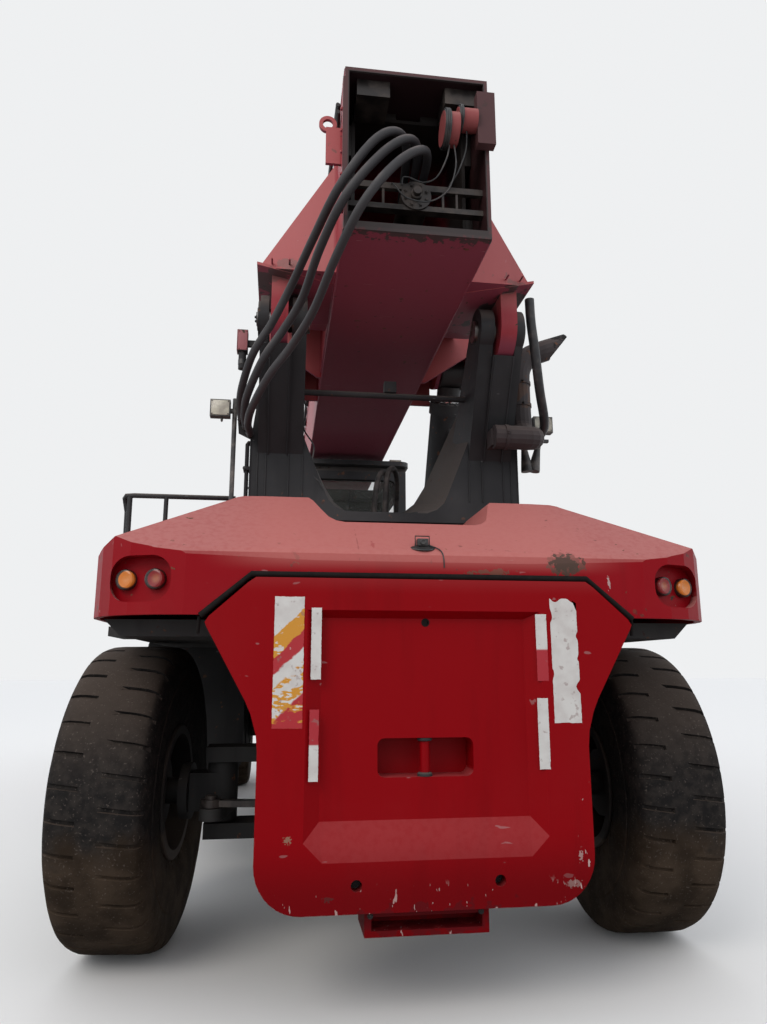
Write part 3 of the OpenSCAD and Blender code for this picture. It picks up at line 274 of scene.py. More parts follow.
def cord(name, route, radius, finish, body, steps=6, sides=3):
    """A hose or cable that leaves the object and comes back to it."""
    line = smooth_line(route, steps)
    made = round_line(name, line, radius, finish, body, sides)
    length = sum((b - a).length for a, b in zip(line, line[1:]))
    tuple(route[0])
    return made


hose_radius = 0.0235
for number, route in enumerate(hose_routes):
    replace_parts(cord(f"boom_hose_{number + 1}", route, hose_radius, rubber, "boom",
                     steps=8, sides=5), "boom_hoses")

# Cable bundle beside the right fork: electric cables wound in a black spiral sleeve, about 65 mm
# thick, that hangs from the boom's ear and bends round to the arm of the work lamp.
bundle_route = ((0.886, -4.7525, 3.800), (0.890, -4.7525, 3.640), (0.912, -4.7405, 3.450),
                (0.960, -4.6605, 3.230), (1.030, -4.5305, 3.080), (1.072, -4.3905, 3.042),
                (1.074, -4.2605, 3.032), (1.074, -4.2405, 3.032), (1.074, -4.2205, 3.032),
                (1.074, -4.2008, 3.032))


def mottled(name, roughness, pattern, low, high, first, second, share=1.0, **sockets):
    """A finish in two colours, the second where a noise runs from low to high."""
    made = Finish(name, first, roughness, **sockets)
    mask = made.noise(*pattern).band(low, high)
    made.set("Base Color", made.mix(mask * share, first, second))
    return made


sleeve = mottled("sleeve_plastic", 0.5, (14, 5), 0.45, 0.7, (0.02, 0.02, 0.022), (0.09, 0.075, 0.07), 0.7)
bundle = cord("cable_bundle_sleeve", bundle_route, 0.031, sleeve, "chassis",
              steps=5, sides=4)
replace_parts(bundle, "cable_bundle")

# Two grey hoses that come up from the frame through the round hole in the towers' floor, arch over
# and go to the rear wall of the engine hood. Old rubber, faded and dusty, about 38 mm thick.
faded = mottled("faded_hose", 0.75, (18, 5), 0.35, 0.65, (0.022, 0.020, 0.020), (0.075, 0.062, 0.058))
for number, shift in enumerate((0.0, 0.075)):
    cord(f"tower_hose_{number + 1}", (
        (-0.03 + shift, -3.4705, 1.5), (-0.03 + shift, -3.5405, 1.72), (-0.035 + shift, -3.8805, 2.12),
        (-0.04 + shift, -4.0505, 2.42), (-0.03 + shift, -4.1005, 2.66 + shift),
        (0.01 + shift, -4.0705, 2.79 + shift / 2), (0.06 + shift, -3.9505, 2.81),
        (0.09 + shift, -3.7905, 2.70), (0.10 + shift, -3.6205, 2.48), (0.10 + shift, -3.4905, 2.28),
        (0.10 + shift, -3.4205, 2.16), (0.10 + shift, -3.3908, 2.13)),
        0.019, faded, "chassis", steps=6, sides=4)


class Pile:
    """Many small solids, or one mesh that is handed in, that end as one mesh riding one body."""

    def __init__(self, mesh=None):
        self.mesh = bmesh.new() if mesh is None else mesh

    def put(self, points, faces):
        made = [self.mesh.verts.new(p) for p in points]
        for face in faces:
            self.mesh.faces.new([made[i] for i in face])

    def block(self, low, high, edge=0.0, turn=None, about=None):
        """A block from its low to its high corner, with cut edges, turned about a point if asked."""
        made = bmesh.ops.create_cube(self.mesh, size=1.0)["verts"]
        middle = (Vector(low) + Vector(high)) / 2
        size = Vector(high) - Vector(low)
        for vert in made:
            vert.co = Vector((vert.co.x * size.x, vert.co.y * size.y, vert.co.z * size.z)) + middle
        if edge:
            edges = list({e for vert in made for e in vert.link_edges})
            made = bmesh.ops.bevel(self.mesh, geom=edges, offset=edge, segments=2, profile=0.6,
                                   affect="EDGES")["verts"]
        if turn:
            centre = Vector(about) if about else middle
            bmesh.ops.rotate(self.mesh, cent=centre, matrix=Euler(turn).to_matrix(), verts=made)

    def turned(self, profile, at, axis, sides=16):
        """A turned piece from (radius, distance along the axis) pairs."""
        turn = Vector((0, 0, 1)).rotation_difference(Vector(axis))
        rings = []
        for radius, along in profile:
            if radius <= 0:
                rings.append([self.mesh.verts.new(Vector(at) + turn @ Vector((0, 0, along)))])
                continue
            rings.append([self.mesh.verts.new(Vector(at) + turn @ Vector((
                radius * math.cos(2 * math.pi * k / sides), radius * math.sin(2 * math.pi * k / sides),
                along))) for k in range(sides)])
        for low, high in zip(rings, rings[1:]):
            for k in range(sides):
                loop = [low[k % len(low)], low[(k + 1) % len(low)], high[(k + 1) % len(high)],
                        high[k % len(high)]]
                loop = list(dict.fromkeys(loop))
                if len(loop) > 2:
                    self.mesh.faces.new(loop)
        for ring in (rings[0], rings[-1]):
            if len(ring) > 2:
                self.mesh.faces.new(ring if ring is rings[-1] else ring[::-1])

    def bolt(self, at, axis, size=0.012):
        """A round washer, a hexagon head with a cut rim, and the rounded end of the thread."""
        self.turned([(size * 1.25, 0), (size * 1.25, size * 0.18), (size * 1.1, size * 0.22)], at, axis, 14)
        self.turned([(size * 0.95, size * 0.2), (size, size * 0.35), (size, size * 0.85),
                     (size * 0.86, size)], at, axis, 6)
        self.turned([(size * 0.5, size * 0.98), (size * 0.5, size * 1.1), (size * 0.3, size * 1.2),
                     (0, size * 1.22)], at, axis, 8)

    def bolt_ring(self, centre, axis, radius, count, size, start, first, second):
        """Bolts on a circle that first and second span, the first one at the start angle."""
        for k in range(count):
            turn = math.radians(start + 360 * k / count)
            ray = Vector(first) * math.cos(turn) + Vector(second) * math.sin(turn)
            self.bolt(Vector(centre) + ray * radius, axis, size)

    def bead(self, start, end, width=0.008, sides=5):
        """A weld bead, rippled along its length."""
        start, end = Vector(start), Vector(end)
        count = max(2, int((end - start).length / (width * 0.7)))
        self.pipe([start.lerp(end, k / count) for k in range(count + 1)],
                  lambda k: width * (0.62 if k % 2 else 0.5) * random.uniform(0.94, 1.06), sides)

    def pipe(self, line, radius, sides=8):
        """A round bar along a line, of one radius or of a radius for each ring."""
        line = [Vector(p) for p in line]
        last = len(line) - 1
        rings, side = [], None
        for k, point in enumerate(line):
            way = (line[min(k + 1, last)] - line[max(k - 1, 0)]).normalized()
            if side is None:
                side = way.orthogonal().normalized()
            side = (side - way * side.dot(way)).normalized()
            other = way.cross(side)
            r = radius(k) if callable(radius) else radius
            rings.append([self.mesh.verts.new(point + r * (side * math.cos(2 * math.pi * i / sides)
                                                           + other * math.sin(2 * math.pi * i / sides)))
                          for i in range(sides)])
        for low, high in zip(rings, rings[1:]):
            for i in range(sides):
                self.mesh.faces.new((low[i], low[(i + 1) % sides], high[(i + 1) % sides], high[i]))
        self.mesh.faces.new(rings[0][::-1])
        self.mesh.faces.new(rings[-1])

    def done(self, name, finish, slot, body, smooth=0.7):
        bmesh.ops.recalc_face_normals(self.mesh, faces=self.mesh.faces)
        for face in self.mesh.faces:
            face.smooth = True
        for edge in self.mesh.edges:
            edge.smooth = edge.is_manifold and edge.calc_face_angle(0) < smooth
        made = bpy.data.objects.new(name, bpy.data.meshes.new(name))
        self.mesh.to_mesh(made.data)
        self.mesh.free()
        made.data.materials.append(finish.material)
        bpy.context.collection.objects.link(made)
        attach(made, body)
        return made


def worn_paint(name, colour, dusty, dust_colour, chips=0.0, roughness=0.42, fade=0.3, streaks=0.4,
               shine=0.3, marks=(), below=None):
    """Old machine paint: fades in clouds, runs of dirt down its walls, dust on top, chips of two
    kinds, fine scratches. Marks are extra spots: place, reach, colour and share. Below is a painted
    shade: the colour given to faces that look down."""
    made = Finish(name, colour, roughness, Specular_IOR_Level=shine)
    clouds = made.noise(0.9, 5)
    runs = made.noise(7, 5, (1, 1, 0.12))
    fine = made.noise(38, 6)
    pale = tuple(c + (1 - c) * 0.10 for c in colour)
    dark = tuple(c * 0.55 for c in colour)
    shade = made.mix(clouds.band(0.35, 0.7) * fade, colour, pale)
    shade = made.mix(runs.band(0.5, 0.72) * streaks, shade, dark)
    settled = made.facing_up().band(0.0, 0.5) * dusty + clouds.band(0.45, 0.8) * 0.12 * dusty
    settled = settled * (0.75 + fine.band(0.3, 0.6) * 0.25)
    shade = made.mix(settled, shade, dust_colour)
    if below:
        # Painted shade: faces that look down are mixed towards the below colour.
        under = made.facing_up().band(-0.35, -0.8) * (0.75 + clouds * 0.4)
        shade = made.mix(under, shade, below)
    scratch = made.noise(60, 2, (0.12, 1, 0.35)).band(0.73, 0.75)
    shade = made.mix(scratch * 0.35, shade, tuple(0.25 + c * 0.5 for c in colour))
    if chips:
        loss = made.noise(23, 3, roughness=0.4).band(0.71 - 0.05 * chips, 0.73 - 0.05 * chips)
        loss = loss * clouds.band(0.4, 0.55)
        rust = made.mix(fine.band(0.45, 0.55), (0.05, 0.03, 0.026), (0.13, 0.06, 0.035))
        shade = made.mix(loss, shade, rust)
    for place, reach, tint, share in marks:
        shade = made.mix(made.spot(place, reach, 2.0, 2.0 / sorted(reach)[1]) * share, shade, tint)
    made.shade = shade
    made.set("Base Color", shade)
    made.set("Roughness", roughness + settled * 0.35 + fine * 0.12)
    made.bump(fine + clouds * 2.0, 0.12, 0.002)
    return made


# Main frame: two welded box rails and cross members in dark grey chassis paint, caked with dirt.
# Weld seams where the members meet, and two steel brake pipes clipped along the right rail.
frame_paint = worn_paint("frame_paint", (0.022, 0.021, 0.022), 0.5, (0.12, 0.095, 0.08), 0.5, 0.62, shine=0.2)
dress(frame_paint, "chassis_frame", "tower_fittings")
# Axles: cast and welded steel, almost black as painted shade for the shadow they sit in, with dust on top
axle_paint = worn_paint("axle_paint", (0.009, 0.008, 0.008), 0.35, (0.07, 0.055, 0.045), 0.2, 0.5, shine=0.15)
dress(axle_paint, "drive_axle", "steer_axle", "knuckle_left", "knuckle_right")
seams = Pile()
for side in (-1, 1):
    for y in (-5.3305, -4.9905, -3.4905, -3.0905, -1.1905, -0.8905):
        seams.bead((side * 0.31, y, 1.01), (side * 0.31, y, 1.5), 0.012)
    seams.bead((side * 0.52, -3.5905, 1.495), (side * 0.52, -2.8405, 1.495), 0.012)
    seams.bead((side * 0.52, -2.1205, 1.34), (side * 0.52, -1.6205, 1.34), 0.012)
    for y in (-2.0905, -1.6505):
        seams.bead((side * 0.52, y, 0.92), (side * 0.52, y, 1.33), 0.012)
for drop in (0, 0.045):
    seams.pipe(smooth_line([(0.532, -5.28, 1.36 - drop), (0.532, -4.7, 1.36 - drop),
                            (0.532, -4.0, 1.38 - drop), (0.532, -3.62, 1.36 - drop)], 4), 0.011, 8)
for y in (-5.1, -4.6, -4.1, -3.7):
    seams.block((0.519, y - 0.012, 1.285), (0.549, y + 0.012, 1.40), 0.004)
    seams.bolt((0.549, y, 1.3375), (1, 0, 0), 0.009)
seams.done("frame_seams_and_pipes", frame_paint, "frame_paint", "chassis")

# Decks and ladders: folded steel plate with a raised diamond grip, bolted at its edges, under the
# same dark grey paint. The pattern is pressed in, so it is a bump here.
deck_paint = worn_paint("deck_paint", (0.034, 0.032, 0.032), 0.75, (0.15, 0.125, 0.105), 0.9, 0.6, shine=0.25)
across = deck_paint.part(deck_paint.place(), "X")
along = deck_paint.part(deck_paint.place(), "Y")
rows = ((across + along) * 18.0).saw()
lines = ((across - along) * 18.0).saw()
grip = abs(rows - 0.5).band(0.16, 0.08) * abs(lines - 0.5).band(0.42, 0.34)
deck_paint.bump(grip * deck_paint.facing_up().band(0.7, 0.9) + deck_paint.noise(30, 5) * 0.25, 0.8, 0.003)
dress(deck_paint, "side_decks", "front_fenders")
deck_bolts = Pile()
for side in (-1, 1):
    for y in [-3.39 + 0.42 * k for k in range(10)]:
        if not -1.0 < y < -0.3:
            deck_bolts.bolt((side * 1.0, y, 1.73), (0, 0, 1), 0.010)
            deck_bolts.bolt((side * 1.60, y, 1.73), (0, 0, 1), 0.010)
    for z in (0.64, 0.92, 1.20, 1.48):
        for y in (-0.9075, -0.3735):
            deck_bolts.bolt((side * 1.68, y, z - 0.005), (0, -1 if y < -0.6 else 1, 0), 0.009)
    # Bent edge of each tread, with a row of raised teeth
    for z in (0.65, 0.93, 1.21, 1.49):
        for k in range(9):
            deck_bolts.turned([(0.012, 0), (0.012, 0.004), (0.008, 0.007), (0, 0.007)],
                              (side * 1.79, -0.86 + 0.056 * k, z), (0, 0, 1), 8)
    for x in (1.03, 1.28, 1.53, 1.78, 2.03):
        deck_bolts.bolt((side * x, 0.56, 1.73), (0, 0, 1), 0.009)
deck_bolts.done("deck_bolts", frame_paint, "frame_paint", "chassis")

# Towers that carry the boom: welded plate boxes, black paint gone dull and grey with dust and
# rubbed bare where cables and boots touch. Seams run along the fork plates and round the hole.
tower_paint = worn_paint("tower_paint", (0.017, 0.017, 0.019), 0.8, (0.12, 0.10, 0.09), 0.5, 0.5, shine=0.25)
dress(tower_paint, "rear_towers", "handrails", "engine_hood", "steer_cylinder")
seams = Pile()
for side in (-1, 1):
    for x in (0.540, 0.628, 0.770, 0.822):
        seams.bead((side * x, -4.4315, 2.80), (side * x, -4.4325, 2.52), 0.010)
    seams.bead((side * 0.640, -4.4325, 2.79), (side * 0.640, -4.772, 3.385), 0.009)
    seams.bead((side * 0.758, -4.4325, 2.79), (side * 0.758, -4.772, 3.385), 0.009)
    seams.bead((side * 0.866, -4.432, 2.382), (side * 0.866, -4.432, 2.895), 0.009)
    seams.bead((side * 0.866, -4.40, 2.384), (side * 0.866, -3.775, 2.384), 0.009)
    # Cover plate with six bolts on the tower's outer wall
    seams.block((side * 0.872 - 0.006, -4.13, 2.48), (side * 0.872 + 0.006, -3.86, 2.82), 0.004)
    for y in (-4.10, -3.89):
        for z in (2.51, 2.65, 2.79):
            seams.bolt((side * 0.878, y, z), (side, 0, 0), 0.010)
    # Keeper plate and grease nipple at the pivot pin's end
    seams.block((side * 0.843 - 0.006, -4.735, 3.552), (side * 0.843 + 0.006, -4.646, 3.608), 0.004)
    for y in (-4.718, -4.663):
        seams.bolt((side * 0.849, y, 3.58), (side, 0, 0), 0.009)
seams.pipe([(0.262 * math.cos(a / 12 * math.pi), -4.0905 + 0.262 * math.sin(a / 12 * math.pi), 2.4595
             + 0.030 * math.sin(a / 12 * math.pi)) for a in range(25)], 0.006, 6)
for x in (-0.545, 0.545):
    seams.turned([(0.022, 0), (0.027, 0.006), (0.022, 0.012)], (x - 0.006, -4.3605, 3.245), (1, 0, 0), 16)
seams.done("tower_seams", tower_paint, "tower_paint", "chassis")
# Thin black cable that hangs down the inner face of the left tower
cord("tower_cable", ((-0.553, -4.3605, 3.222), (-0.52, -4.372, 3.12), (-0.535, -4.40, 2.98),
                     (-0.47, -4.41, 2.86), (-0.49, -4.42, 2.70), (-0.43, -4.432, 2.62),
                     (-0.4, -4.4318, 2.566)), 0.005, sleeve, "chassis", steps=5)

# Counterweight: one heavy casting in deep gloss red with a band of dust under the hood, chipped to
# white filler along its lower edge and scuffed on its rounded foot.
weight_marks = (((0.635, -5.66, 0.556), (0.034, 0.06, 0.015), (0.46, 0.34, 0.32), 0.85),
                ((0.675, -5.66, 0.665), (0.010, 0.06, 0.022), (0.46, 0.33, 0.31), 0.8),
                ((-0.60, -5.67, 0.765), (0.015, 0.05, 0.013), (0.26, 0.16, 0.11), 0.8),
                ((-0.43, -5.67, 0.53), (0.020, 0.05, 0.010), (0.06, 0.05, 0.045), 0.8),
                # The last mark is painted shade: a dark red band low on the foot.
                ((0.0, -5.62, 0.43), (0.45, 0.16, 0.058), (0.10, 0.010, 0.014), 0.85))
weight_paint = worn_paint("counterweight_paint", (0.24, 0.0002, 0.0030), 0.6, (0.36, 0.062, 0.065), 0.0, 0.36,
                          0.0, 0.25, 0.08, weight_marks)
weight_x = weight_paint.part(weight_paint.place(), "X")
weight_z = weight_paint.part(weight_paint.place(), "Z")
# Painted shade: darker red towards the bottom of the foot.
shade = weight_paint.mix(weight_z.band(0.80, 0.50) * 0.65, weight_paint.shade, (0.10, 0.0005, 0.002))
shade = weight_paint.mix(weight_z.band(1.79, 1.88) * 0.35, shade, (0.30, 0.035, 0.038))
nicks = weight_paint.noise(52, 2, (1, 1, 0.35)).band(0.685, 0.705)
nicks = nicks * (weight_z.band(0.60, 0.53) * 0.7 + weight_x.band(0.64, 0.72) * weight_z.band(1.05, 0.90))
weight_paint.set("Base Color", weight_paint.mix(nicks, shade, (0.46, 0.33, 0.31)))
dress(weight_paint, "counterweight")
fastenings = Pile()
for x in (-0.31, 0.31):
    fastenings.turned([(0.023, 0), (0.023, 0.004), (0.015, 0.004), (0.013, -0.008), (0, -0.008)],
                      (x, -5.6125, 0.578), (0, -1, 0), 18)
# Stop rings above and below the tow post
fastenings.turned([(0.034, 0), (0.034, 0.010), (0.027, 0.016)], (0, -5.6005, 1.001), (0, 0, 1), 20)
fastenings.turned([(0.034, 0), (0.034, -0.010), (0.027, -0.014)], (0, -5.6005, 1.163), (0, 0, 1), 20)
for x in (-0.24, 0.24):
    fastenings.bolt((x - 0.005, -5.6215, 0.445), (0, -1, 0), 0.010)
fastenings.done("counterweight_bolts", frame_paint, "counterweight_paint", "chassis")

# Six stickers on the counterweight: thin film, torn at the edges and peeling, blank. Two wide ones
# and four narrow strips, white with what is left of red and yellow slanting bands.
film = Finish("sticker_film", (0.62, 0.60, 0.58), 0.5)
sx, sz = film.part(film.place(), "X"), film.part(film.place(), "Z")
worn = film.noise(12, 6)
torn = film.noise(28, 5, (0.45, 1, 1))
slant = sz - (sx + 0.68) * 0.95 + (torn - 0.5) * 0.05
white = film.mix(worn.band(0.35, 0.75) * 0.35, (0.60, 0.58, 0.56), (0.34, 0.27, 0.26))
yellow, red = (0.56, 0.24, 0.012), (0.38, 0.008, 0.016)
hue = film.mix(slant.band(1.606, 1.600), white, yellow)
hue = film.mix(slant.band(1.510, 1.504), hue, red)
hue = film.mix(slant.band(1.440, 1.428), hue, white)
hue = film.mix(slant.band(1.385, 1.375) * torn.band(0.48, 0.53), hue, yellow)
hue = film.mix(slant.band(1.245, 1.232) * torn.band(0.60, 0.52), hue, red)
hue = film.mix(torn.band(0.60, 0.63), hue, white)
hue = film.mix(sx.band(-0.535, -0.530), hue, white)
low_strip = sz.band(1.140, 1.148) * sx.band(-0.470, -0.476) * sx.band(-0.525, -0.520)
high_strip = sz.band(1.556, 1.546) * sx.band(0.505, 0.509) * sx.band(0.572, 0.567) * sz.band(1.39, 1.40)
hue = film.mix(low_strip * sz.band(1.32, 1.31) + high_strip, hue, (0.36, 0.008, 0.018))
hue = film.mix(film.noise(30, 4).band(0.62, 0.68) * 0.5, hue, (0.22, 0.13, 0.12))
film.set("Base Color", hue)
film.bump(worn, 0.3, 0.001)
# Left and right edge, bottom and top, depth of the tears
film_strips = ((-0.680, -0.548, 1.213, 1.780, 0.006), (-0.517, -0.471, 1.419, 1.732, 0.004),
               (-0.519, -0.477, 0.995, 1.293, 0.005), (0.583, 0.712, 1.224, 1.785, 0.060),
               (0.511, 0.565, 1.410, 1.712, 0.024), (0.504, 0.556, 1.027, 1.335, 0.020))


def tear(a, b, depth):
    """How far an edge is torn in at a place: mostly not at all, deep in a few spots."""
    return depth * max(0.0, noise.noise(Vector((a * 14, b * 14, 3.7))) - 0.12) + random.uniform(0, 0.0015)


stickers = Pile()
for west, east, low, high, rag in film_strips:
    outline = []
    for k in range(16):
        x = west + (east - west) * k / 16
        outline.append((x, low + tear(x, low, rag * 0.4)))
    for k in range(70):
        z = low + (high - low) * k / 70
        outline.append((east - tear(east, z, rag), z))
    for k in range(16):
        x = east + (west - east) * k / 16
        outline.append((x, high - tear(x, high, rag)))
    for k in range(70):
        z = high + (low - high) * k / 70
        outline.append((west + tear(west, z, rag * 0.6), z))
    count = len(outline)
    stickers.put([(x, -5.6786, z) for x, z in outline] + [(x, -5.6796, z) for x, z in outline],
                 [list(range(count)), list(range(2 * count - 1, count - 1, -1))]
                 + [(i, i + count, (i + 1) % count + count, (i + 1) % count) for i in range(count)])
stickers.done("counterweight_stickers", film, "counterweight_paint", "chassis", 0.3)

# Rear hood: red sheet steel, bleached and dusty on its upper faces, bare and rusty on one bevel,
# with a crack in the filler of its trough. A small camera stands in the trough on a stamped foot.
hood_marks = (((0.69, -5.63, 1.955), (0.075, 0.10, 0.050), (0.050, 0.036, 0.026), 0.95),
              ((0.32, -5.640, 1.908), (0.10, 0.05, 0.012), (0.11, 0.06, 0.04), 0.8),
              ((-0.229, -5.55, 2.04), (0.008, 0.05, 0.03), (0.20, 0.01, 0.02), 0.9),
              ((-0.300, -5.52, 2.05), (0.0035, 0.14, 0.10), (0.12, 0.03, 0.03), 0.8),
              ((0.90, -5.640, 1.87), (0.006, 0.05, 0.030), (0.5, 0.40, 0.38), 0.7))
hood_paint = worn_paint("hood_paint", (0.25, 0.0010, 0.0060), 0.95, (0.40, 0.145, 0.135), 0.1, 0.36,
                        0.0, 0.25, 0.10, hood_marks)
hood_x = abs(hood_paint.part(hood_paint.place(), "X"))
hood_z = hood_paint.part(hood_paint.place(), "Z")
haze = hood_z.band(1.890, 1.975) * hood_x.band(1.05, 0.60) * 0.55
hazed = hood_paint.mix(haze, hood_paint.shade, (0.46, 0.145, 0.13))
bare_bevel = hood_paint.spot((0.69, -5.63, 1.955), (0.072, 0.10, 0.046), 2.0, 26)
hood_paint.set("Base Color", hood_paint.mix(bare_bevel * 0.85, hazed, (0.060, 0.046, 0.036)))
dress(hood_paint, "rear_hood")
# Painted shade: the side tanks take the dark frame paint, for the shadow they stand in between hood and
# tyres.
dress(frame_paint, "side_tanks")
seal = Finish("black_seal", (0.006, 0.006, 0.006), 0.8, Specular_IOR_Level=0.1)
seal.set("Base Color", seal.mix(seal.noise(25, 4), (0.004, 0.004, 0.004), (0.018, 0.015, 0.014)))
trim = Pile()
# Rubber seal in the gap between hood and counterweight
trim.pipe([(-1.005, -5.637, 1.695), (-0.787, -5.637, 1.883), (0.787, -5.637, 1.883), (1.005, -5.637, 1.695)],
          0.0145, 10)
trim.pipe([(-1.015, -5.60, 1.62), (-1.010, -5.62, 1.695)], 0.008, 8)
trim.pipe([(1.015, -5.60, 1.62), (1.010, -5.62, 1.695)], 0.008, 8)
# A black cup of the same rubber in the small hole above the counterweight's pocket: painted shade for the
# dark inside the open hole.
trim.turned([(0.019, 0), (0.019, 0.0015), (0.012, 0.0015), (0.011, -0.020), (0, -0.020)],
            (0.005, -5.6305, 1.672), (0, -1, 0), 18)
trim.done("hood_seal_and_hole_shade", seal, "hood_paint", "chassis")
hood_parts = Pile()
for side in (-1, 1):
    for k in range(6):
        hood_parts.bolt((side * 1.541, -5.15 + 0.18 * k, 1.74), (side, 0, 0), 0.009)
    # Lifting handle on the outer wall
    handle = [(side * x, y, 1.86) for x, y in ((1.540, -4.55), (1.565, -4.55), (1.575, -4.52),
                                               (1.575, -4.40), (1.565, -4.37), (1.540, -4.37))]
    hood_parts.pipe(smooth_line(handle, 3), 0.008, 8)
    hood_parts.bead((side * 0.50, -5.02, 2.345), (side * 0.53, -4.45, 2.385), 0.005)
hood_parts.done("hood_bolts", frame_paint, "hood_paint", "chassis")
plastic = mottled("black_plastic", 0.42, (20, 5), 0.4, 0.7, (0.014, 0.014, 0.015), (0.07, 0.06, 0.055), 0.6)
eye = Pile()
eye.turned([(0.060, 0), (0.058, 0.006), (0.030, 0.012), (0, 0.012)], (0.008, -5.565, 2.026),
           (0, -0.30, 0.95), 24)
eye.block((-0.019, -5.585, 2.036), (0.035, -5.545, 2.072), 0.005)
eye.turned([(0.014, 0), (0.014, 0.006), (0.011, 0.008), (0, 0.004)], (0.008, -5.585, 2.054), (0, -1, 0), 16)
eye.pipe([(-0.026, -5.565, 2.036), (-0.026, -5.565, 2.086), (0.042, -5.565, 2.086), (0.042, -5.565, 2.036)],
         0.0035, 6)
eye.done("hood_camera", plastic, "hood_paint", "chassis")
cord("hood_camera_cable", ((0.035, -5.560, 2.045), (0.060, -5.572, 2.034), (0.082, -5.600, 2.018),
                           (0.092, -5.626, 1.995), (0.095, -5.641, 1.960), (0.096, -5.6415, 1.925)),
     0.003, sleeve, "chassis", steps=5)

# Tail lamps: round plastic lenses with ribbed rings, amber outside and red inside, in a dark rim,
# with a painted highlight in the middle of each.
lens_finish = Finish("lamp_plastic", (0.5, 0.1, 0.03), 0.22)
across = abs(lens_finish.part(lens_finish.place(), "X"))
outer = across.band(1.279, 1.281)
away = across - (1.212 + outer * 0.138)
rise = lens_finish.part(lens_finish.place(), "Z") - 1.863
reach = (away * away + rise * rise).root()
lens_hue_and_highlight = lens_finish.mix(outer, (0.22, 0.012, 0.014), (0.60, 0.17, 0.018))
# Painted highlight: a pale spot in the middle of each lens.
lens_hue_and_highlight = lens_finish.mix(reach.band(0.030, 0.004) * 0.25, lens_hue_and_highlight, (0.70, 0.36, 0.16))
lens_hue_and_highlight = lens_finish.mix(reach.band(0.036, 0.041), lens_hue_and_highlight, (0.03, 0.02, 0.018))
lens_finish.set("Base Color", lens_hue_and_highlight)
lens_finish.bump((reach * 190.0).saw(), 0.4, 0.002)
dress(lens_finish, "tail_lamps")

# Work lamps, horns and mirrors: black plastic housings on welded arms, glass lenses ribbed by the
# mould, each held by a frame with four screws.
housing = mottled("lamp_housing", 0.5, (16, 5), 0.38, 0.7, (0.035, 0.034, 0.034), (0.16, 0.14, 0.125), 0.8)
dress(housing, "work_lamps", "mirrors")
glass = mottled("lamp_glass", 0.18, (20, 4), 0.35, 0.7, (0.50, 0.47, 0.38), (0.34, 0.31, 0.26))
glass.bump((glass.part(glass.place(), "X") * 120.0).saw(), 0.5, 0.002)
lenses, screws = Pile(), Pile()
for west, east, low, high, y, way in (
        (-1.118, -1.007, 3.027, 3.123, -4.4705, -1), (1.079, 1.202, 3.095, 3.197, -4.2155, -1),
        (-1.582, -1.418, 1.796, 1.902, 0.9245, 1), (1.418, 1.582, 1.796, 1.902, 0.9245, 1)):
    lenses.block((west, min(y, y + way * 0.004), low), (east, max(y, y + way * 0.004), high), 0.0015)
    for x in (west + 0.006, east - 0.006):
        for z in (low + 0.006, high - 0.006):
            screws.bolt((x, y + way * 0.004, z), (0, way, 0), 0.0035)
for side in (-1, 1):
    for y, way in ((-1.5605, -1), (-0.0405, 1)):
        lenses.block((side * 0.5 - 0.052, min(y, y + way * 0.003), 3.592),
                     (side * 0.5 + 0.052, max(y, y + way * 0.003), 3.608), 0.001)
lenses.done("lamp_lenses", glass, "lamp_housing", "chassis")
mirror_glass = Finish("mirror_glass", (0.7, 0.72, 0.74), 0.05, 1.0)
mirror_glass.set("Roughness", mirror_glass.noise(18, 5).band(0.3, 0.8) * 0.25 + 0.03)
panes = Pile()
for side in (-1, 1):
    panes.block((side * 1.795 - 0.078, 0.506, 2.722), (side * 1.795 + 0.078, 0.5094, 2.998), 0.0015)
panes.done("mirror_panes", mirror_glass, "lamp_housing", "chassis")
for x, y in ((-1.052, -4.44), (1.03, -4.18)):
    screws.turned([(0.008, 0), (0.008, 0.02), (0.005, 0.028), (0, 0.028)], (x, y, 3.02), (0, 0, -1), 10)
screws.done("lamp_screws", housing, "lamp_housing", "chassis")

# Handrails: bent steel tube in black paint rubbed to bare metal where hands go. Round foot plates
# under each post and weld collars where the bars meet.
feet = Pile()
for side in (-1, 1):
    for y in (-1.5405, -0.9905, -0.3105, 0.4095):
        feet.turned([(0.040, 0), (0.040, 0.008), (0.024, 0.010), (0.021, 0.018), (0.0195, 0.018)],
                    (side * 1.68, y, 1.7302), (0, 0, 1), 20)
        feet.turned([(0.0195, 0), (0.022, 0.004), (0.022, 0.010), (0.0195, 0.014)],
                    (side * 1.69, y, 2.058), (0, 0, 1), 16)
for x, y, z in ((-1.66, -3.9905, 1.7302), (-1.68, -3.9205, 1.7302), (-1.43, -3.9905, 2.064),
                (-0.985, -3.9905, 2.339), (-0.975, -4.4155, 2.3475)):
    feet.turned([(0.034, 0), (0.034, 0.006), (0.022, 0.009), (0.018, 0.016)], (x, y, z), (0, 0, 1), 18)
feet.done("handrail_feet", tower_paint, "tower_paint", "chassis")

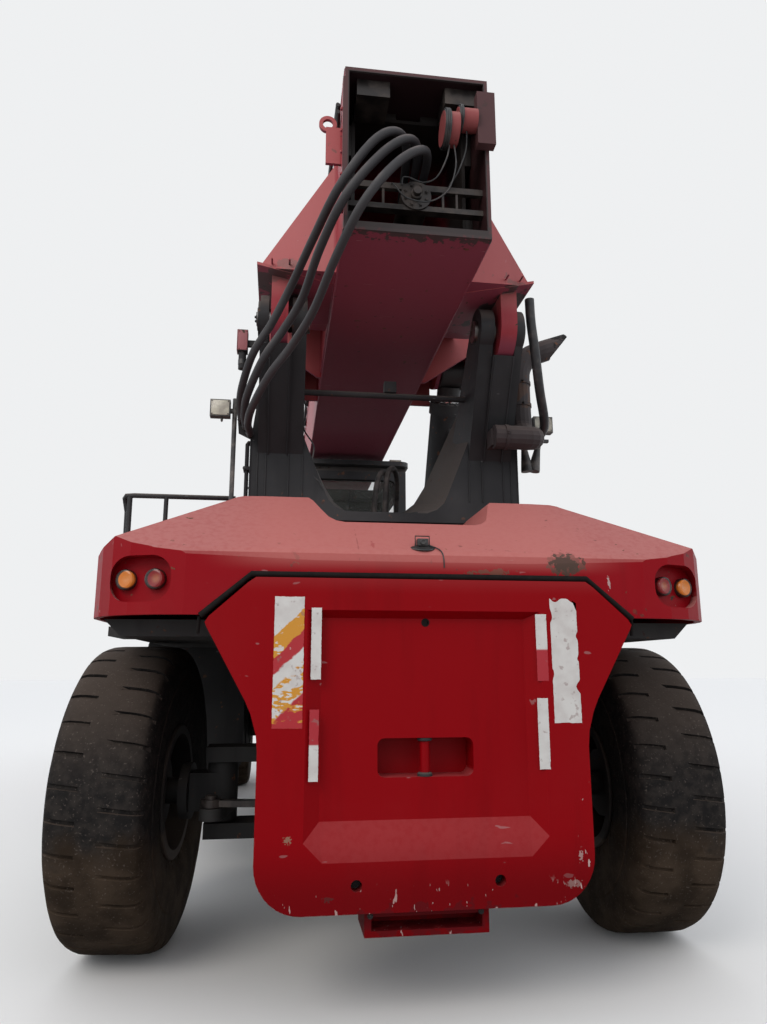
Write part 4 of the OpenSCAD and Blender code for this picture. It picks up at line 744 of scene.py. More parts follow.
# Exhaust: bare steel pipe burnt to a dull brown black, with two clamp bands and soot at its mouth.
burnt = worn_paint("exhaust_steel", (0.040, 0.030, 0.031), 0.4, (0.11, 0.08, 0.07), 0.9, 0.62, shine=0.3,
                   marks=(((1.30, -4.29, 3.74), (0.10, 0.12, 0.12), (0.008, 0.007, 0.007), 0.95),
                          ((0.95, -4.29, 3.30), (0.10, 0.10, 0.10), (0.10, 0.05, 0.03), 0.6)))
dress(burnt, "exhaust_stack")
bands = Pile()
for at, axis in (((0.720, -4.6295, 2.905), (1, 0, 0)), ((0.948, -4.2905, 3.23), (0, 0, 1)),
                 ((0.948, -4.2905, 3.39), (0, 0, 1))):
    bands.turned([(0.076, 0), (0.081, 0.001), (0.081, 0.024), (0.076, 0.025)], at, axis, 32)
    for k in (0, 0.014):
        bands.bolt((at[0] + (0.012 if axis[0] else 0.0), at[1] - 0.081, at[2] + (k if axis[0] else 0.012)),
                   (0, -1, 0), 0.007)
bands.done("exhaust_bands", burnt, "exhaust_steel", "chassis")

# Fittings on the left tower: two steel pipes under a clamp, hose sockets with hexagon nuts, and a
# faded pink switch box with a black plug below it.
box_paint = worn_paint("box_paint", (0.32, 0.10, 0.11), 0.5, (0.35, 0.2, 0.18), 0.6, 0.5, shine=0.25)
cover = Pile()
cover.block((-0.966, -4.6245, 3.402), (-0.962, -4.5475, 3.538), 0.001)
cover.block((-0.960, -4.6245, 3.404), (-0.902, -4.6200, 3.536), 0.001)
for x in (-0.953, -0.909):
    for z in (3.412, 3.528):
        cover.bolt((x, -4.6245, z), (0, -1, 0), 0.004)
cover.done("switch_box_cover", box_paint, "frame_paint", "chassis")
nuts = Pile()
for at in ((-0.928, -4.4582, 3.006), (-0.900, -4.4682, 2.960), (-0.874, -4.4782, 2.914)):
    nuts.turned([(0.0245, 0), (0.027, 0.002), (0.027, 0.014), (0.0245, 0.016)], at, (0, 1, 0), 6)
nuts.bolt((-0.9, -4.4245, 2.700), (0, -1, 0), 0.010)
nuts.turned([(0.026, 0), (0.026, -0.03), (0.02, -0.035), (0.02, -0.06), (0.012, -0.065), (0, -0.065)],
            (-0.931, -4.5855, 3.35), (0, 0, 1), 14)
nuts.done("tower_nuts", plastic, "frame_paint", "chassis")


def ring_outline(a0, b0, a1, b1, r, steps=6):
    """Points round a rectangle with round corners, in two coordinates."""
    points = []
    corners = ((a1 - r, b1 - r), (a0 + r, b1 - r), (a0 + r, b0 + r), (a1 - r, b0 + r))
    for quarter, (a, b) in enumerate(corners):
        for k in range(steps + 1):
            turn = math.radians(90 * quarter + 90 * k / steps)
            points.append((a + r * math.cos(turn), b + r * math.sin(turn)))
    return points


# Cab: folded and welded steel shell and two doors in black paint, dusty at the roof's edge, with
# black rubber profile round every pane, a wiper on the rear window and bolts along the roof.
cab_paint = worn_paint("cab_paint", (0.018, 0.018, 0.020), 0.6, (0.14, 0.12, 0.11), 0.5, 0.42, shine=0.35)
dress(cab_paint, "cab_shell", "cab_door_left", "cab_door_right")
profile = Pile()


def gasket(pile, outline, place):
    """Rubber profile round a window's edge."""
    loop = [place(a, b) for a, b in outline]
    pile.pipe(loop + loop[:2], 0.009, 6)


gasket(profile, ring_outline(-0.5, 2.70, 0.5, 3.385, 0.06), lambda a, b: (a, -1.5435, b))
gasket(profile, ring_outline(-0.5, 1.97, 0.5, 2.30, 0.04), lambda a, b: (a, 0.1625, b))
for side in (-1, 1):
    gasket(profile, ring_outline(-1.4405, 2.35, -1.2005, 3.33, 0.04), lambda a, b: (side * 0.6125, a, b))
gasket(profile, ring_outline(-0.56, 0.0, 0.56, 0.94, 0.03),
       lambda a, b: (a, 0.113 - 0.2135 * b / 0.94 + 0.006, 2.39 + b))
profile.done("cab_seals", seal, "cab_paint", "chassis")
wiper = Pile()
wiper.turned([(0.022, 0), (0.022, 0.03), (0.015, 0.038), (0, 0.038)], (0.18, -1.5405, 2.66), (0, -1, 0), 16)
wiper.pipe([(0.18, -1.570, 2.66), (0.10, -1.566, 2.86), (0.02, -1.562, 3.06)], 0.006, 6)
wiper.block((-0.012, -1.562, 2.86), (0.004, -1.550, 3.27), 0.002, (0, 0.12, 0), (-0.004, -1.556, 3.06))
for side in (-1, 1):
    for k in range(6):
        wiper.bolt((side * 0.56, -1.45 + 0.24 * k, 3.588), (0, 0, 1), 0.008)
    wiper.turned([(0.05, 0), (0.05, 0.02), (0.03, 0.03), (0, 0.03)], (side * 0.3, -1.30, 3.588),
                 (0, 0, 1), 18)
wiper.done("cab_wiper_and_bolts", plastic, "cab_paint", "chassis")
for name, side in (("left", -1), ("right", 1)):
    edge = Pile()
    gasket(edge, ring_outline(-1.0805, 2.0803, -0.2205, 3.34, 0.07), lambda a, b: (side * 0.6115, a, b))
    edge.turned([(0.016, 0), (0.016, 0.006), (0.010, 0.010), (0, 0.010)], (side * 0.61, -0.19, 2.16),
                (side, 0, 0), 16)
    edge.block((side * 0.612 - 0.004, -0.235, 2.26), (side * 0.612 + 0.004, -0.165, 2.63), 0.003)
    edge.done(f"door_seal_{name}", seal, "cab_paint", f"door_{name}")
pane = Finish("cab_glazing", (0.24, 0.25, 0.23), 0.05)
grime = pane.noise(3, 6).band(0.35, 0.75)
pane.set("Alpha", grime * 0.05 + 0.12)
pane.set("Roughness", grime * 0.20 + 0.04)
dress(pane, "cab_glass", "door_glass_left", "door_glass_right")

# Driver's seat: foam cushion and back in woven cloth with welted seams, on a sprung base in a
# rubber bellows. The cushions are crowned and sink a little in the middle.
cloth = Finish("seat_cover", (0.03, 0.032, 0.038), 0.9, Sheen_Weight=0.3)
weave = (cloth.part(cloth.place(), "X") * 260.0).saw() + (cloth.part(cloth.place(), "Z") * 260.0 + cloth.part(
    cloth.place(), "Y") * 260.0).saw()
cloth.set("Base Color", cloth.mix(weave.band(0.7, 1.3), (0.024, 0.026, 0.031), (0.055, 0.057, 0.066)))
cloth.bump(weave + cloth.noise(12, 4) * 2.0, 0.4, 0.002)


def cushion(name, middle, size, lean, panels):
    """A stuffed pad with a flat crown, rolled edges and sewn channels across its top."""
    shell = bmesh.new()
    bmesh.ops.create_cube(shell, size=2.0)
    bmesh.ops.subdivide_edges(shell, edges=shell.edges[:], cuts=23, use_grid_fill=True)
    turn = Euler((lean, 0, 0)).to_matrix()
    for vert in shell.verts:
        x, y, z = vert.co
        swell = (abs(x) ** 7 + abs(y) ** 7 + abs(z) ** 7) ** (1 / 7)
        x, y, z = x / swell, y / swell, z / swell
        crown = 1 - 0.10 * (x * x + y * y) - 0.10 * math.exp(-5 * (x * x + y * y))
        channel = max(math.exp(-((x - p) / 0.035) ** 2) for p in panels) if abs(z) > 0.3 else 0
        welt = math.exp(-((abs(x) - 0.86) / 0.03) ** 2) + math.exp(-((abs(y) - 0.86) / 0.03) ** 2)
        depth = crown - 0.08 * channel - 0.05 * min(welt, 1)
        vert.co = turn @ Vector((x * size[0], y * size[1], z * size[2] * depth)) + Vector(middle)
    made = Pile(shell).done(name, cloth, "seat_cover", "chassis", 1.2)
    return made


channels, no_channels = (-0.35, 0.35), (-3, 3)
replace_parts(cushion("seat_cushion", (0, -0.9255, 2.135), (0.238, 0.243, 0.066), 0.03, channels), "cab_seat")
cushion("seat_back", (0, -1.178, 2.49), (0.228, 0.335, 0.062), math.pi / 2 + 0.09, channels)
for name, side in (("left", -1), ("right", 1)):
    cushion(f"seat_arm_{name}", (side * 0.28, -0.9705, 2.32), (0.038, 0.188, 0.028), 0, no_channels)
base = Pile()
bellows = [(0, 0), (0.208, 0), (0.208, 0.035)]
for k in range(8):
    bellows += [(0.155, 0.055 + 0.021 * k), (0.185, 0.065 + 0.021 * k)]
base.turned(bellows + [(0.195, 0.235), (0.195, 0.268), (0, 0.268)], (0, -0.9405, 1.7908), (0, 0, 1), 36)
for side in (-1, 1):
    base.block((side * 0.235 - 0.008, -1.09, 2.17), (side * 0.235 + 0.008, -1.06, 2.30), 0.003)
for x in (-0.22, 0.22):
    base.pipe([(x, -1.09, 2.08), (x, -1.16, 2.15), (x, -1.19, 2.5)], 0.012, 8)
base.done("seat_base", plastic, "seat_cover", "chassis")

# Driver's console: moulded dark plastic with a sloping instrument hood, switches, a steering wheel
# with a soft rim and two levers with round knobs.
console = mottled("console_plastic", 0.5, (40, 3), 0.4, 0.6, (0.04, 0.04, 0.044), (0.09, 0.085, 0.085), 0.5)
console.bump(console.noise(400, 2), 0.3, 0.0008)
dress(console, "cab_console")
dials = Pile()
for k in range(4):
    dials.turned([(0.034, 0), (0.034, 0.008), (0.030, 0.010), (0.027, 0.006), (0, 0.006)],
                 (-0.18 + 0.12 * k, -0.07, 2.3303), (0, -0.1, 1), 20)
for k in range(7):
    dials.block((-0.21 + 0.07 * k - 0.012, -0.150, 2.3303), (-0.21 + 0.07 * k + 0.012, -0.132, 2.342), 0.003)
dials.turned([(0.045, 0), (0.05, 0.01), (0.045, 0.022), (0, 0.024)], (0, -0.2905, 2.494),
             (0, -0.64, 0.77), 24)
for x in (-0.2, 0.2):
    dials.pipe([(x, -0.12, 2.33), (x, -0.15, 2.42)], 0.006, 8)
    dials.turned([(0, 0), (0.014, 0.006), (0.018, 0.018), (0.014, 0.030), (0, 0.034)],
                 (x, -0.148, 2.414), (0, -0.3, 1), 14)
dials.done("console_switches", plastic, "console_plastic", "chassis")

# Outer boom: long welded box of thick plate in red, dusty above, with pivot ears, the lift
# cylinders' brackets and a greasy grey lip. It has painted shade, a duller red on the faces that
# look down and near black inside its rear half, and painted light that makes the brackets' plates
# paler. Wear pads are set by bolts at its mouth, and two oil pipes run along the left wall in
# bolted clamps.
boom_marks = (((0.62, -4.69, 3.79), (0.30, 0.26, 0.045), (0.050, 0.045, 0.044), 0.9),
              ((-0.62, -4.69, 3.79), (0.30, 0.26, 0.045), (0.055, 0.045, 0.044), 0.85),
              ((0.70, -4.69, 3.58), (0.09, 0.12, 0.12), (0.035, 0.018, 0.018), 0.2),
              ((-0.70, -4.69, 3.58), (0.09, 0.12, 0.12), (0.035, 0.018, 0.018), 0.2),
              ((0.0, -5.63, 3.69), (0.60, 0.075, 0.050), (0.055, 0.045, 0.044), 0.92))
# Its below colour is painted shade for the faces that look down.
boom_paint = worn_paint("boom_paint", (0.31, 0.026, 0.038), 0.85, (0.43, 0.13, 0.125), 0.25, 0.42, 0.25, 0.4,
                        0.20, boom_marks, below=(0.23, 0.050, 0.078))
boom_x, boom_y, boom_z = (boom_paint.part(boom_paint.place(), axis) for axis in "XYZ")
# Painted shade: the inside walls of the boom's rear half are made near black.
painted_inside_shade = abs(boom_x).band(0.375, 0.371) * boom_z.band(3.674, 3.680) * boom_z.band(4.606, 4.600)
painted_inside_shade = painted_inside_shade * boom_y.band(-3.2, -3.6)
# Painted light: the brackets' plates and gussets beside the boom are made paler pink where they do not face
# down.
painted_light_on_plates = abs(boom_x).band(0.395, 0.41) * boom_y.band(-2.0, -2.4) * boom_z.band(3.60, 3.75)
painted_light_on_plates = painted_light_on_plates * boom_paint.facing_up().band(-0.5, -0.1)
shade = boom_paint.mix(painted_light_on_plates * 0.4, boom_paint.shade, (0.55, 0.20, 0.19))
shade = boom_paint.mix(painted_inside_shade * 0.93, shade, (0.012, 0.010, 0.010))
rear_rim = boom_y.band(-5.598, -5.603) * 0.85
boom_paint.set("Base Color", boom_paint.mix(rear_rim, shade, (0.050, 0.040, 0.040)))
dress(boom_paint, "outer_boom", "inner_boom", "hanger_yoke", "spreader_frame")
seams = Pile()
for side in (-1, 1):
    seams.bead((side * 0.387, -5.60, 3.662), (side * 0.387, 1.92, 3.662), 0.011)
    seams.bead((side * 0.387, -5.60, 4.618), (side * 0.387, 1.92, 4.618), 0.011)
    seams.bead((side * 0.392, -5.09, 3.704), (side * 0.392, -3.31, 3.704), 0.012)
    seams.bead((side * 0.392, -5.09, 4.416), (side * 0.392, -3.31, 4.416), 0.010)
    seams.bead((side * 0.655, -5.06, 3.79), (side * 0.655, -4.44, 3.80), 0.010)
    seams.bead((side * 0.757, -5.02, 3.81), (side * 0.757, -4.43, 3.82), 0.010)
    seams.bead((side * 0.392, -3.611, 3.70), (side * 0.392, -3.611, 4.14), 0.010)
    seams.bead((side * 0.392, -3.56, 4.068), (side * 0.392, -2.60, 4.068), 0.010)
    # Adjusting bolts of the wear pads round the mouth, each with a lock nut on a plate
    for y in (2.0, 2.09):
        for z in (3.86, 4.14, 4.42):
            seams.bolt((side * 0.407, y, z), (side, 0, 0), 0.014)
        for x in (0.10, 0.28):
            seams.bolt((side * x, y, 4.638), (0, 0, 1), 0.014)
            seams.bolt((side * x, y, 3.642), (0, 0, -1), 0.014)
    # Keeper plate and grease nipple of the lift cylinder's upper pin
    seams.turned([(0.075, 0), (0.075, 0.010), (0.050, 0.014), (0, 0.014)], (side * 0.826, -3.2905, 3.870),
                 (side, 0, 0), 28)
    seams.bolt_ring((side * 0.840, -3.2905, 3.870), (side, 0, 0), 0.055, 4, 0.008, 45, (0, 1, 0), (0, 0, 1))
for z in (3.990, 4.120, 4.250, 4.380):
    seams.bolt((-0.399, -5.5835, z), (-1, 0, 0), 0.0095)
seams.done("boom_seams_and_bolts", boom_paint, "boom_paint", "boom")
steel = Finish("pin_steel", (0.28, 0.27, 0.26), 0.42, 1.0)
smear = steel.noise(11, 6).band(0.38, 0.7)
steel.set("Base Color", steel.mix(smear, (0.34, 0.33, 0.32), (0.10, 0.075, 0.06)))
steel.set("Roughness", smear * 0.35 + 0.28)
steel.bump(steel.noise(120, 2, (1, 0.05, 1)), 0.15, 0.001)
dress(steel, "boom_pins")
greasy = Finish("greasy_steel", (0.05, 0.042, 0.038), 0.45, 0.5)
smear = greasy.noise(9, 6).band(0.38, 0.7)
greasy.set("Base Color", greasy.mix(smear, (0.028, 0.024, 0.023), (0.085, 0.068, 0.060)))
greasy.set("Roughness", smear * 0.35 + 0.32)
dress(greasy, "telescope_barrel", "steer_rod")
pipes = Pile()
for z in (4.505, 4.550):
    pipes.pipe(smooth_line([(-0.402, -5.30, z - 0.02), (-0.416, -5.22, z), (-0.416, -2.6, z),
                            (-0.416, 0.6, z), (-0.416, 1.72, z), (-0.402, 1.80, z - 0.02)], 4), 0.011, 8)
for k in range(10):
    y = -5.0 + 0.72 * k
    pipes.block((-0.432, y - 0.016, 4.480), (-0.3895, y + 0.016, 4.575), 0.004)
    pipes.bolt((-0.432, y, 4.5275), (-1, 0, 0), 0.008)
pipes.done("boom_pipes", tower_paint, "tower_paint", "boom")

# Tail of the boom: cable reels in faded pink paint with a few turns of black cable, the extend
# cylinder's bolted end cap with its ports, and loose loops of thin cable that hang in the opening.
reel_paint = worn_paint("reel_paint", (0.25, 0.050, 0.050), 0.5, (0.33, 0.13, 0.12), 0.6, 0.5, 0.2, 0.5, 0.2)
reel_box = reel_paint.part(reel_paint.place(), "X").band(0.3130, 0.3138)
reel_paint.set("Base Color", reel_paint.mix(reel_box * 0.9, reel_paint.shade, (0.060, 0.032, 0.034)))
dress(reel_paint, "tail_reel")
turns = Pile()
for height, reach, low, count in ((4.270, 0.088, 0.1315, 4), (4.335, 0.062, 0.2145, 3)):
    for layer in (0, 1):
        for k in range(count - layer):
            x = low + 0.0088 * k + 0.0044 * layer
            r = reach + 0.0042 + 0.0076 * layer
            steps = [math.radians(10 * step) for step in range(37)]
            turns.pipe([(x, -5.6405 + r * math.cos(a), height + r * math.sin(a)) for a in steps], 0.0043, 6)
turns.done("reel_turns", sleeve, "hose_rubber", "boom")
cap = Pile()
cap_middle = (0, -5.5505, 3.925)
cap.bolt_ring(cap_middle, (0, -1, 0), 0.060, 8, 0.009, 22.5, (1, 0, 0), (0, 0, 1))
cap.turned([(0.030, 0), (0.030, 0.018), (0.022, 0.024), (0.022, 0.05), (0, 0.05)], cap_middle, (0, -1, 0), 20)
cap.done("cylinder_end_cap", greasy, "pin_steel", "boom")
for number, route in enumerate((
        ((0.165, -5.6405, 4.178), (0.150, -5.632, 4.10), (0.100, -5.610, 4.00), (0.030, -5.592, 3.975),
         (-0.040, -5.575, 4.010), (-0.070, -5.556, 4.020), (-0.075, -5.545, 3.985)),
        ((0.190, -5.6405, 4.178), (0.200, -5.630, 4.060), (0.160, -5.610, 3.930), (0.060, -5.600, 3.860),
         (-0.060, -5.590, 3.880), (-0.120, -5.562, 3.970), (-0.130, -5.545, 3.985)),
        ((0.260, -5.6405, 4.269), (0.255, -5.632, 4.160), (0.215, -5.610, 4.040), (0.185, -5.570, 4.000),
         (0.175, -5.545, 3.985)))):
    cord(f"tail_loop_{number + 1}", route, 0.0045, sleeve, "boom", steps=5)

# Inner boom: a box that slides in the outer one on pads, with greased wear tracks, bolted end
# plate and welded side plates for the hanger's pin.
track = mottled("grease_track", 0.35, (6, 6, (1, 0.1, 1)), 0.35, 0.65, (0.06, 0.045, 0.04),
                (0.16, 0.13, 0.11))
strips = Pile()
for side in (-1, 1):
    for z in (3.80, 4.46):
        strips.block((side * 0.327 - 0.0015, 2.20, z - 0.03), (side * 0.327 + 0.0015, 3.62, z + 0.03))
    strips.block((side * 0.22 - 0.05, 2.20, 3.7205), (side * 0.22 + 0.05, 3.62, 3.7220))
strips.done("inner_boom_tracks", track, "boom_paint", "inner_boom")
# The part of the inner boom that stays in the outer one, with its collar of rear wear pads. Red
# like the rest, with painted shade that makes its rear end near black.
slide_paint = worn_paint("slide_paint", (0.27, 0.022, 0.032), 0.5, (0.40, 0.13, 0.12), 0.2, 0.42,
                         0.25, 0.5, 0.25)
# Painted shade: near black towards the rear end.
painted_rear_shade = slide_paint.part(slide_paint.place(), "Y").band(-4.75, -5.05)
slide_paint.set("Base Color", slide_paint.mix(painted_rear_shade, slide_paint.shade, (0.022, 0.018, 0.017)))
tail = Pile()
tail_back, tail_front = -5.33, -3.592
wall, low, high, wide = 0.020, 3.7225, 4.5575, 0.327
for z in (low, high - wall):
    tail.block((-wide, tail_back, z), (wide, tail_front, z + wall))
for side in (-1, 1):
    tail.block((min(side * wide, side * (wide - wall)), tail_back, low + wall),
               (max(side * wide, side * (wide - wall)), tail_front, high - wall))
    # Weld seams ground nearly flush, because the mouth's pads run over them
    seam_x = side * (wide - 0.0075)
    for edge in (low + 0.0075, high - 0.0075):
        tail.bead((seam_x, tail_back + 0.21, edge), (seam_x, tail_front, edge), 0.008)
    # Two pads to each side, screwed on
    for z in (low + 0.06, high - 0.26):
        tail.block((min(side * wide, side * (wide + 0.039)), tail_back, z),
                   (max(side * wide, side * (wide + 0.039)), tail_back + 0.20, z + 0.20), 0.006)
    for under, over in ((low - 0.039, low), (high, high + 0.039)):
        tail.block((side * 0.18 - 0.11, tail_back, under),
                   (side * 0.18 + 0.11, tail_back + 0.20, over), 0.006)
tail.done("inner_boom_tail", slide_paint, "boom_paint", "inner_boom")
# Line of the hanger's pin, with the slewing axis straight below it
slew_y, pin_z = 4.4595, 3.42
plate = Pile()
for side in (-1, 1):
    for z in (3.80, 3.95, 4.10, 4.25, 4.40, 4.50):
        plate.bolt((side * 0.25, 3.7095, z), (0, 1, 0), 0.012)
    plate.turned([(0.100, 0), (0.100, 0.012), (0.080, 0.018)], (side * 0.3601, slew_y, pin_z),
                 (side, 0, 0), 32)
    plate.bolt_ring((side * 0.376, slew_y, pin_z), (side, 0, 0), 0.085, 6, 0.008, 30, (0, 1, 0), (0, 0, 1))
    plate.bead((side * 0.329, 3.66, 3.73), (side * 0.345, 4.24, 3.37), 0.010)
plate.block((-0.15, 3.7095, 4.28), (0.15, 3.745, 4.44), 0.008)
plate.done("inner_boom_bolts", boom_paint, "boom_paint", "inner_boom")

# Hanger and slewing head: cast yoke on a thick pin over a ring gear with two oil motors. Bolts
# round the ring, cut teeth, motor caps with cooling ribs and grease nipples.
ring = Pile()
for k in range(30):
    a = math.radians(12 * k)
    ring.turned([(0.016, 0), (0.016, 0.012), (0.013, 0.016), (0, 0.016)],
                (0.455 * math.cos(a), slew_y + 0.455 * math.sin(a), 2.9312), (0, 0, 1), 6)
for side in (-1, 1):
    for y in (-0.24, -0.12, 0.12, 0.24):
        ring.bolt((side * 0.42, slew_y + y, 2.990), (0, 0, 1), 0.014)
    ring.bead((side * 0.25, 4.24, 2.992), (side * 0.25, 4.68, 2.992), 0.012)
ring.done("hanger_bolts", boom_paint, "boom_paint", "hanger")
dress(frame_paint, "rotator_carriage")
gear = Pile()
for k in range(96):
    a = 2 * math.pi * k / 96
    c, s = math.cos(a), math.sin(a)
    outline = [(r * c - w * s, slew_y + r * s + w * c) for r, w in
               ((0.598, -0.013), (0.613, -0.006), (0.613, 0.006), (0.598, 0.013))]
    gear.put([(x, y, 2.701) for x, y in outline] + [(x, y, 2.737) for x, y in outline],
             [(3, 2, 1, 0), (4, 5, 6, 7), (0, 1, 5, 4), (1, 2, 6, 5), (2, 3, 7, 6), (3, 0, 4, 7)])
gear.done("ring_teeth", steel, "pin_steel", "rotator")
motors = Pile()
for side in (-1, 1):
    x, y = side * 0.65, slew_y + side * 0.25
    for k in range(5):
        motors.turned([(0.0702, 0), (0.078, 0.003), (0.078, 0.009), (0.0702, 0.012)],
                      (x, y, 2.79 + 0.024 * k), (0, 0, 1), 24)
    motors.bolt_ring((x, y, 2.759), (0, 0, 1), 0.083, 4, 0.009, 45, (1, 0, 0), (0, 1, 0))
    motors.bolt_ring((x, y, 2.929), (0, 0, 1), 0.045, 4, 0.007, 45, (1, 0, 0), (0, 1, 0))
    motors.turned([(0.02, 0), (0.02, 0.03), (0.014, 0.04), (0, 0.04)], (x + side * 0.068, y, 2.88),
                  (side, 0, 0), 12)
    for u in (-0.5, -0.25, 0.0, 0.25, 0.5):
        motors.bolt((u, slew_y + side * 0.5602, 2.645), (0, side, 0), 0.011)
motors.done("slew_motors", frame_paint, "frame_paint", "rotator")

# Container spreader: two box girders with telescopic beams, end beams with corner housings, signal
# lamps on a bracket, oil pipes along the girders and a chain of clamps.
tops = Pile()
for side in (-1, 1):
    for edge in (-1, 1):
        y = slew_y + side * 0.33 + edge * 0.172
        tops.bead((-2.60, y, 2.200), (2.60, y, 2.200), 0.010)
        tops.bead((-2.60, y, 2.582), (2.60, y, 2.582), 0.010)
    for x in (-2.69, 2.69):
        for y in (-0.13, 0.0, 0.13):
            tops.bolt((x, slew_y + side * 0.33 + y, 2.589), (0, 0, 1), 0.014)
    for x in (-1.5, 1.5):
        y = slew_y + side * 0.5004
        tops.block((x - 0.14, y - 0.008, 2.30), (x + 0.14, y + 0.008, 2.50), 0.004)
        for u in (-0.11, 0.11):
            for z in (2.33, 2.47):
                tops.bolt((x + u, slew_y + side * 0.5084, z), (0, side, 0), 0.010)
tops.done("spreader_seams", boom_paint, "spreader_paint", "spreader")
lines = Pile()
for k, y in enumerate((3.935, 3.905)):
    lines.pipe([(-2.45, y, 2.52 - 0.03 * k), (2.45, y, 2.52 - 0.03 * k)], 0.010, 8)
for k in range(9):
    x = -2.3 + 0.575 * k
    lines.block((x - 0.016, 3.890, 2.470), (x + 0.016, 3.9592, 2.540), 0.004)
    lines.bolt((x, 3.890, 2.505), (0, -1, 0), 0.007)
lines.done("spreader_pipes", tower_paint, "tower_paint", "spreader")
signals = Pile()
for x in (-0.09, 0.0, 0.09):
    signals.turned([(0.032, 0), (0.032, 0.02), (0.026, 0.036), (0.014, 0.044), (0, 0.046)],
                   (x, 3.945, 2.36), (0, -1, 0), 20)
signals.done("spreader_lamps", lens_finish, "lamp_plastic", "spreader")
back = Pile()
back.block((-0.15, 3.9452, 2.31), (0.15, 3.9592, 2.41), 0.004)
for x in (-0.13, 0.13):
    for z in (2.325, 2.395):
        back.bolt((x, 3.9452, z), (0, -1, 0), 0.006)
back.done("spreader_lamp_plate", frame_paint, "frame_paint", "spreader")
beam_paint = worn_paint("beam_paint", (0.022, 0.022, 0.024), 0.6, (0.15, 0.11, 0.09), 1.0, 0.5, shine=0.3)
dress(beam_paint, "spreader_beam_left", "spreader_beam_right")
for name, side in (("left", -1), ("right", 1)):
    y = slew_y + side * 0.33
    beam = Pile()
    beam.bead((side * 2.7788, y - 0.12, 2.485), (side * 2.7788, y + 0.12, 2.485), 0.012)
    for end in (-1, 1):
        for u in (0.03, 0.11, 0.19):
            beam.bolt((side * (2.8 + u - 0.02), slew_y + end * 1.179, 2.30), (0, end, 0), 0.012)
        # Indicator rod of the lock, and its spring
        beam.turned([(0.010, 0), (0.010, 0.10), (0.016, 0.105), (0.016, 0.12), (0, 0.124)],
                    (side * 2.90, slew_y + end * 1.06, 2.478), (0, 0, 1), 12)
        coil = [(side * 2.90 + 0.018 * math.cos(t * 0.7), slew_y + end * 1.06 + 0.018 * math.sin(t * 0.7),
                 2.482 + 0.0016 * t) for t in range(54)]
        beam.pipe(coil, 0.0032, 5)
    beam.done(f"end_beam_bolts_{name}", beam_paint, "spreader_paint", f"beam_{name}")

# Lift cylinders: thick barrels in black paint and hard chromed rods. Bolted gland ring, a wiper
# lip, a feed pipe along the barrel in two straps, grease nipples and cap plates at the foot pin.
dress(tower_paint, "lift_barrel_left", "lift_barrel_right")
chrome = Finish("rod_chrome", (0.60, 0.60, 0.61), 0.14, 1.0)
film_of_oil = chrome.noise(5, 5, (1, 1, 0.2)).band(0.4, 0.75)
eye_part = chrome.part(chrome.place(), "Z").band(3.63, 3.66)
oiled = chrome.mix(film_of_oil, (0.66, 0.66, 0.67), (0.30, 0.26, 0.22))
chrome.set("Base Color", chrome.mix(eye_part, oiled, (0.020, 0.018, 0.018)))
chrome.set("Metallic", 1.0 - eye_part)
chrome.set("Roughness", film_of_oil * 0.3 + eye_part * 0.4 + 0.10)
dress(chrome, "lift_rod_left", "lift_rod_right")
foot_z, foot_y, eye_z, eye_y = 1.25, -1.8705, 3.87, -3.2905
reach = math.hypot(eye_z - foot_z, eye_y - foot_y)
up = Vector((0, (eye_y - foot_y) / reach, (eye_z - foot_z) / reach))
across = Vector((0, up.z, -up.y))
for name, side in (("left", -1), ("right", 1)):
    foot = Vector((side * 0.7, foot_y, foot_z))
    sideways = Vector((side, 0, 0))
    parts = Pile()
    gland = foot + up * (reach - 0.24)
    parts.bolt_ring(gland, up, 0.137, 12, 0.012, 15, sideways, across)
    parts.turned([(0.112, 0), (0.108, 0.012), (0.1035, 0.014), (0.1035, 0)], gland, up, 32)
    feed = ((0.34, 0.13), (0.36, 0.1638), (0.8, 0.1638), (reach - 0.62, 0.1638), (reach - 0.48, 0.1638),
            (reach - 0.44, 0.13))
    parts.pipe([foot + up * along - across * off for along, off in feed], 0.014, 10)
    for along in (0.9, 1.6):
        parts.turned([(0.1402, 0), (0.146, 0.002), (0.146, 0.038), (0.1402, 0.040)],
                     foot + up * along, up, 32)
        parts.bolt(foot + up * (along + 0.02) - across * 0.18096, -across, 0.009)
    for face in (-1, 1):
        parts.turned([(0.095, 0), (0.095, 0.006), (0.070, 0.010), (0, 0.010)], foot + sideways * face * 0.09,
                     sideways * face, 28)
    parts.turned([(0.010, 0), (0.010, 0.010), (0.006, 0.014), (0.006, 0.022), (0, 0.026)],
                 foot - across * 0.118, -across, 10)
    parts.done(f"lift_gland_{name}", tower_paint, "tower_paint", f"barrel_{name}")

# Engine: a plain iron block in its place under the hood, oily and dusty.
iron = mottled("engine_iron", 0.6, (5, 6), 0.35, 0.7, (0.15, 0.145, 0.14), (0.05, 0.04, 0.035), Metallic=0.2)
dress(iron, "engine_block")

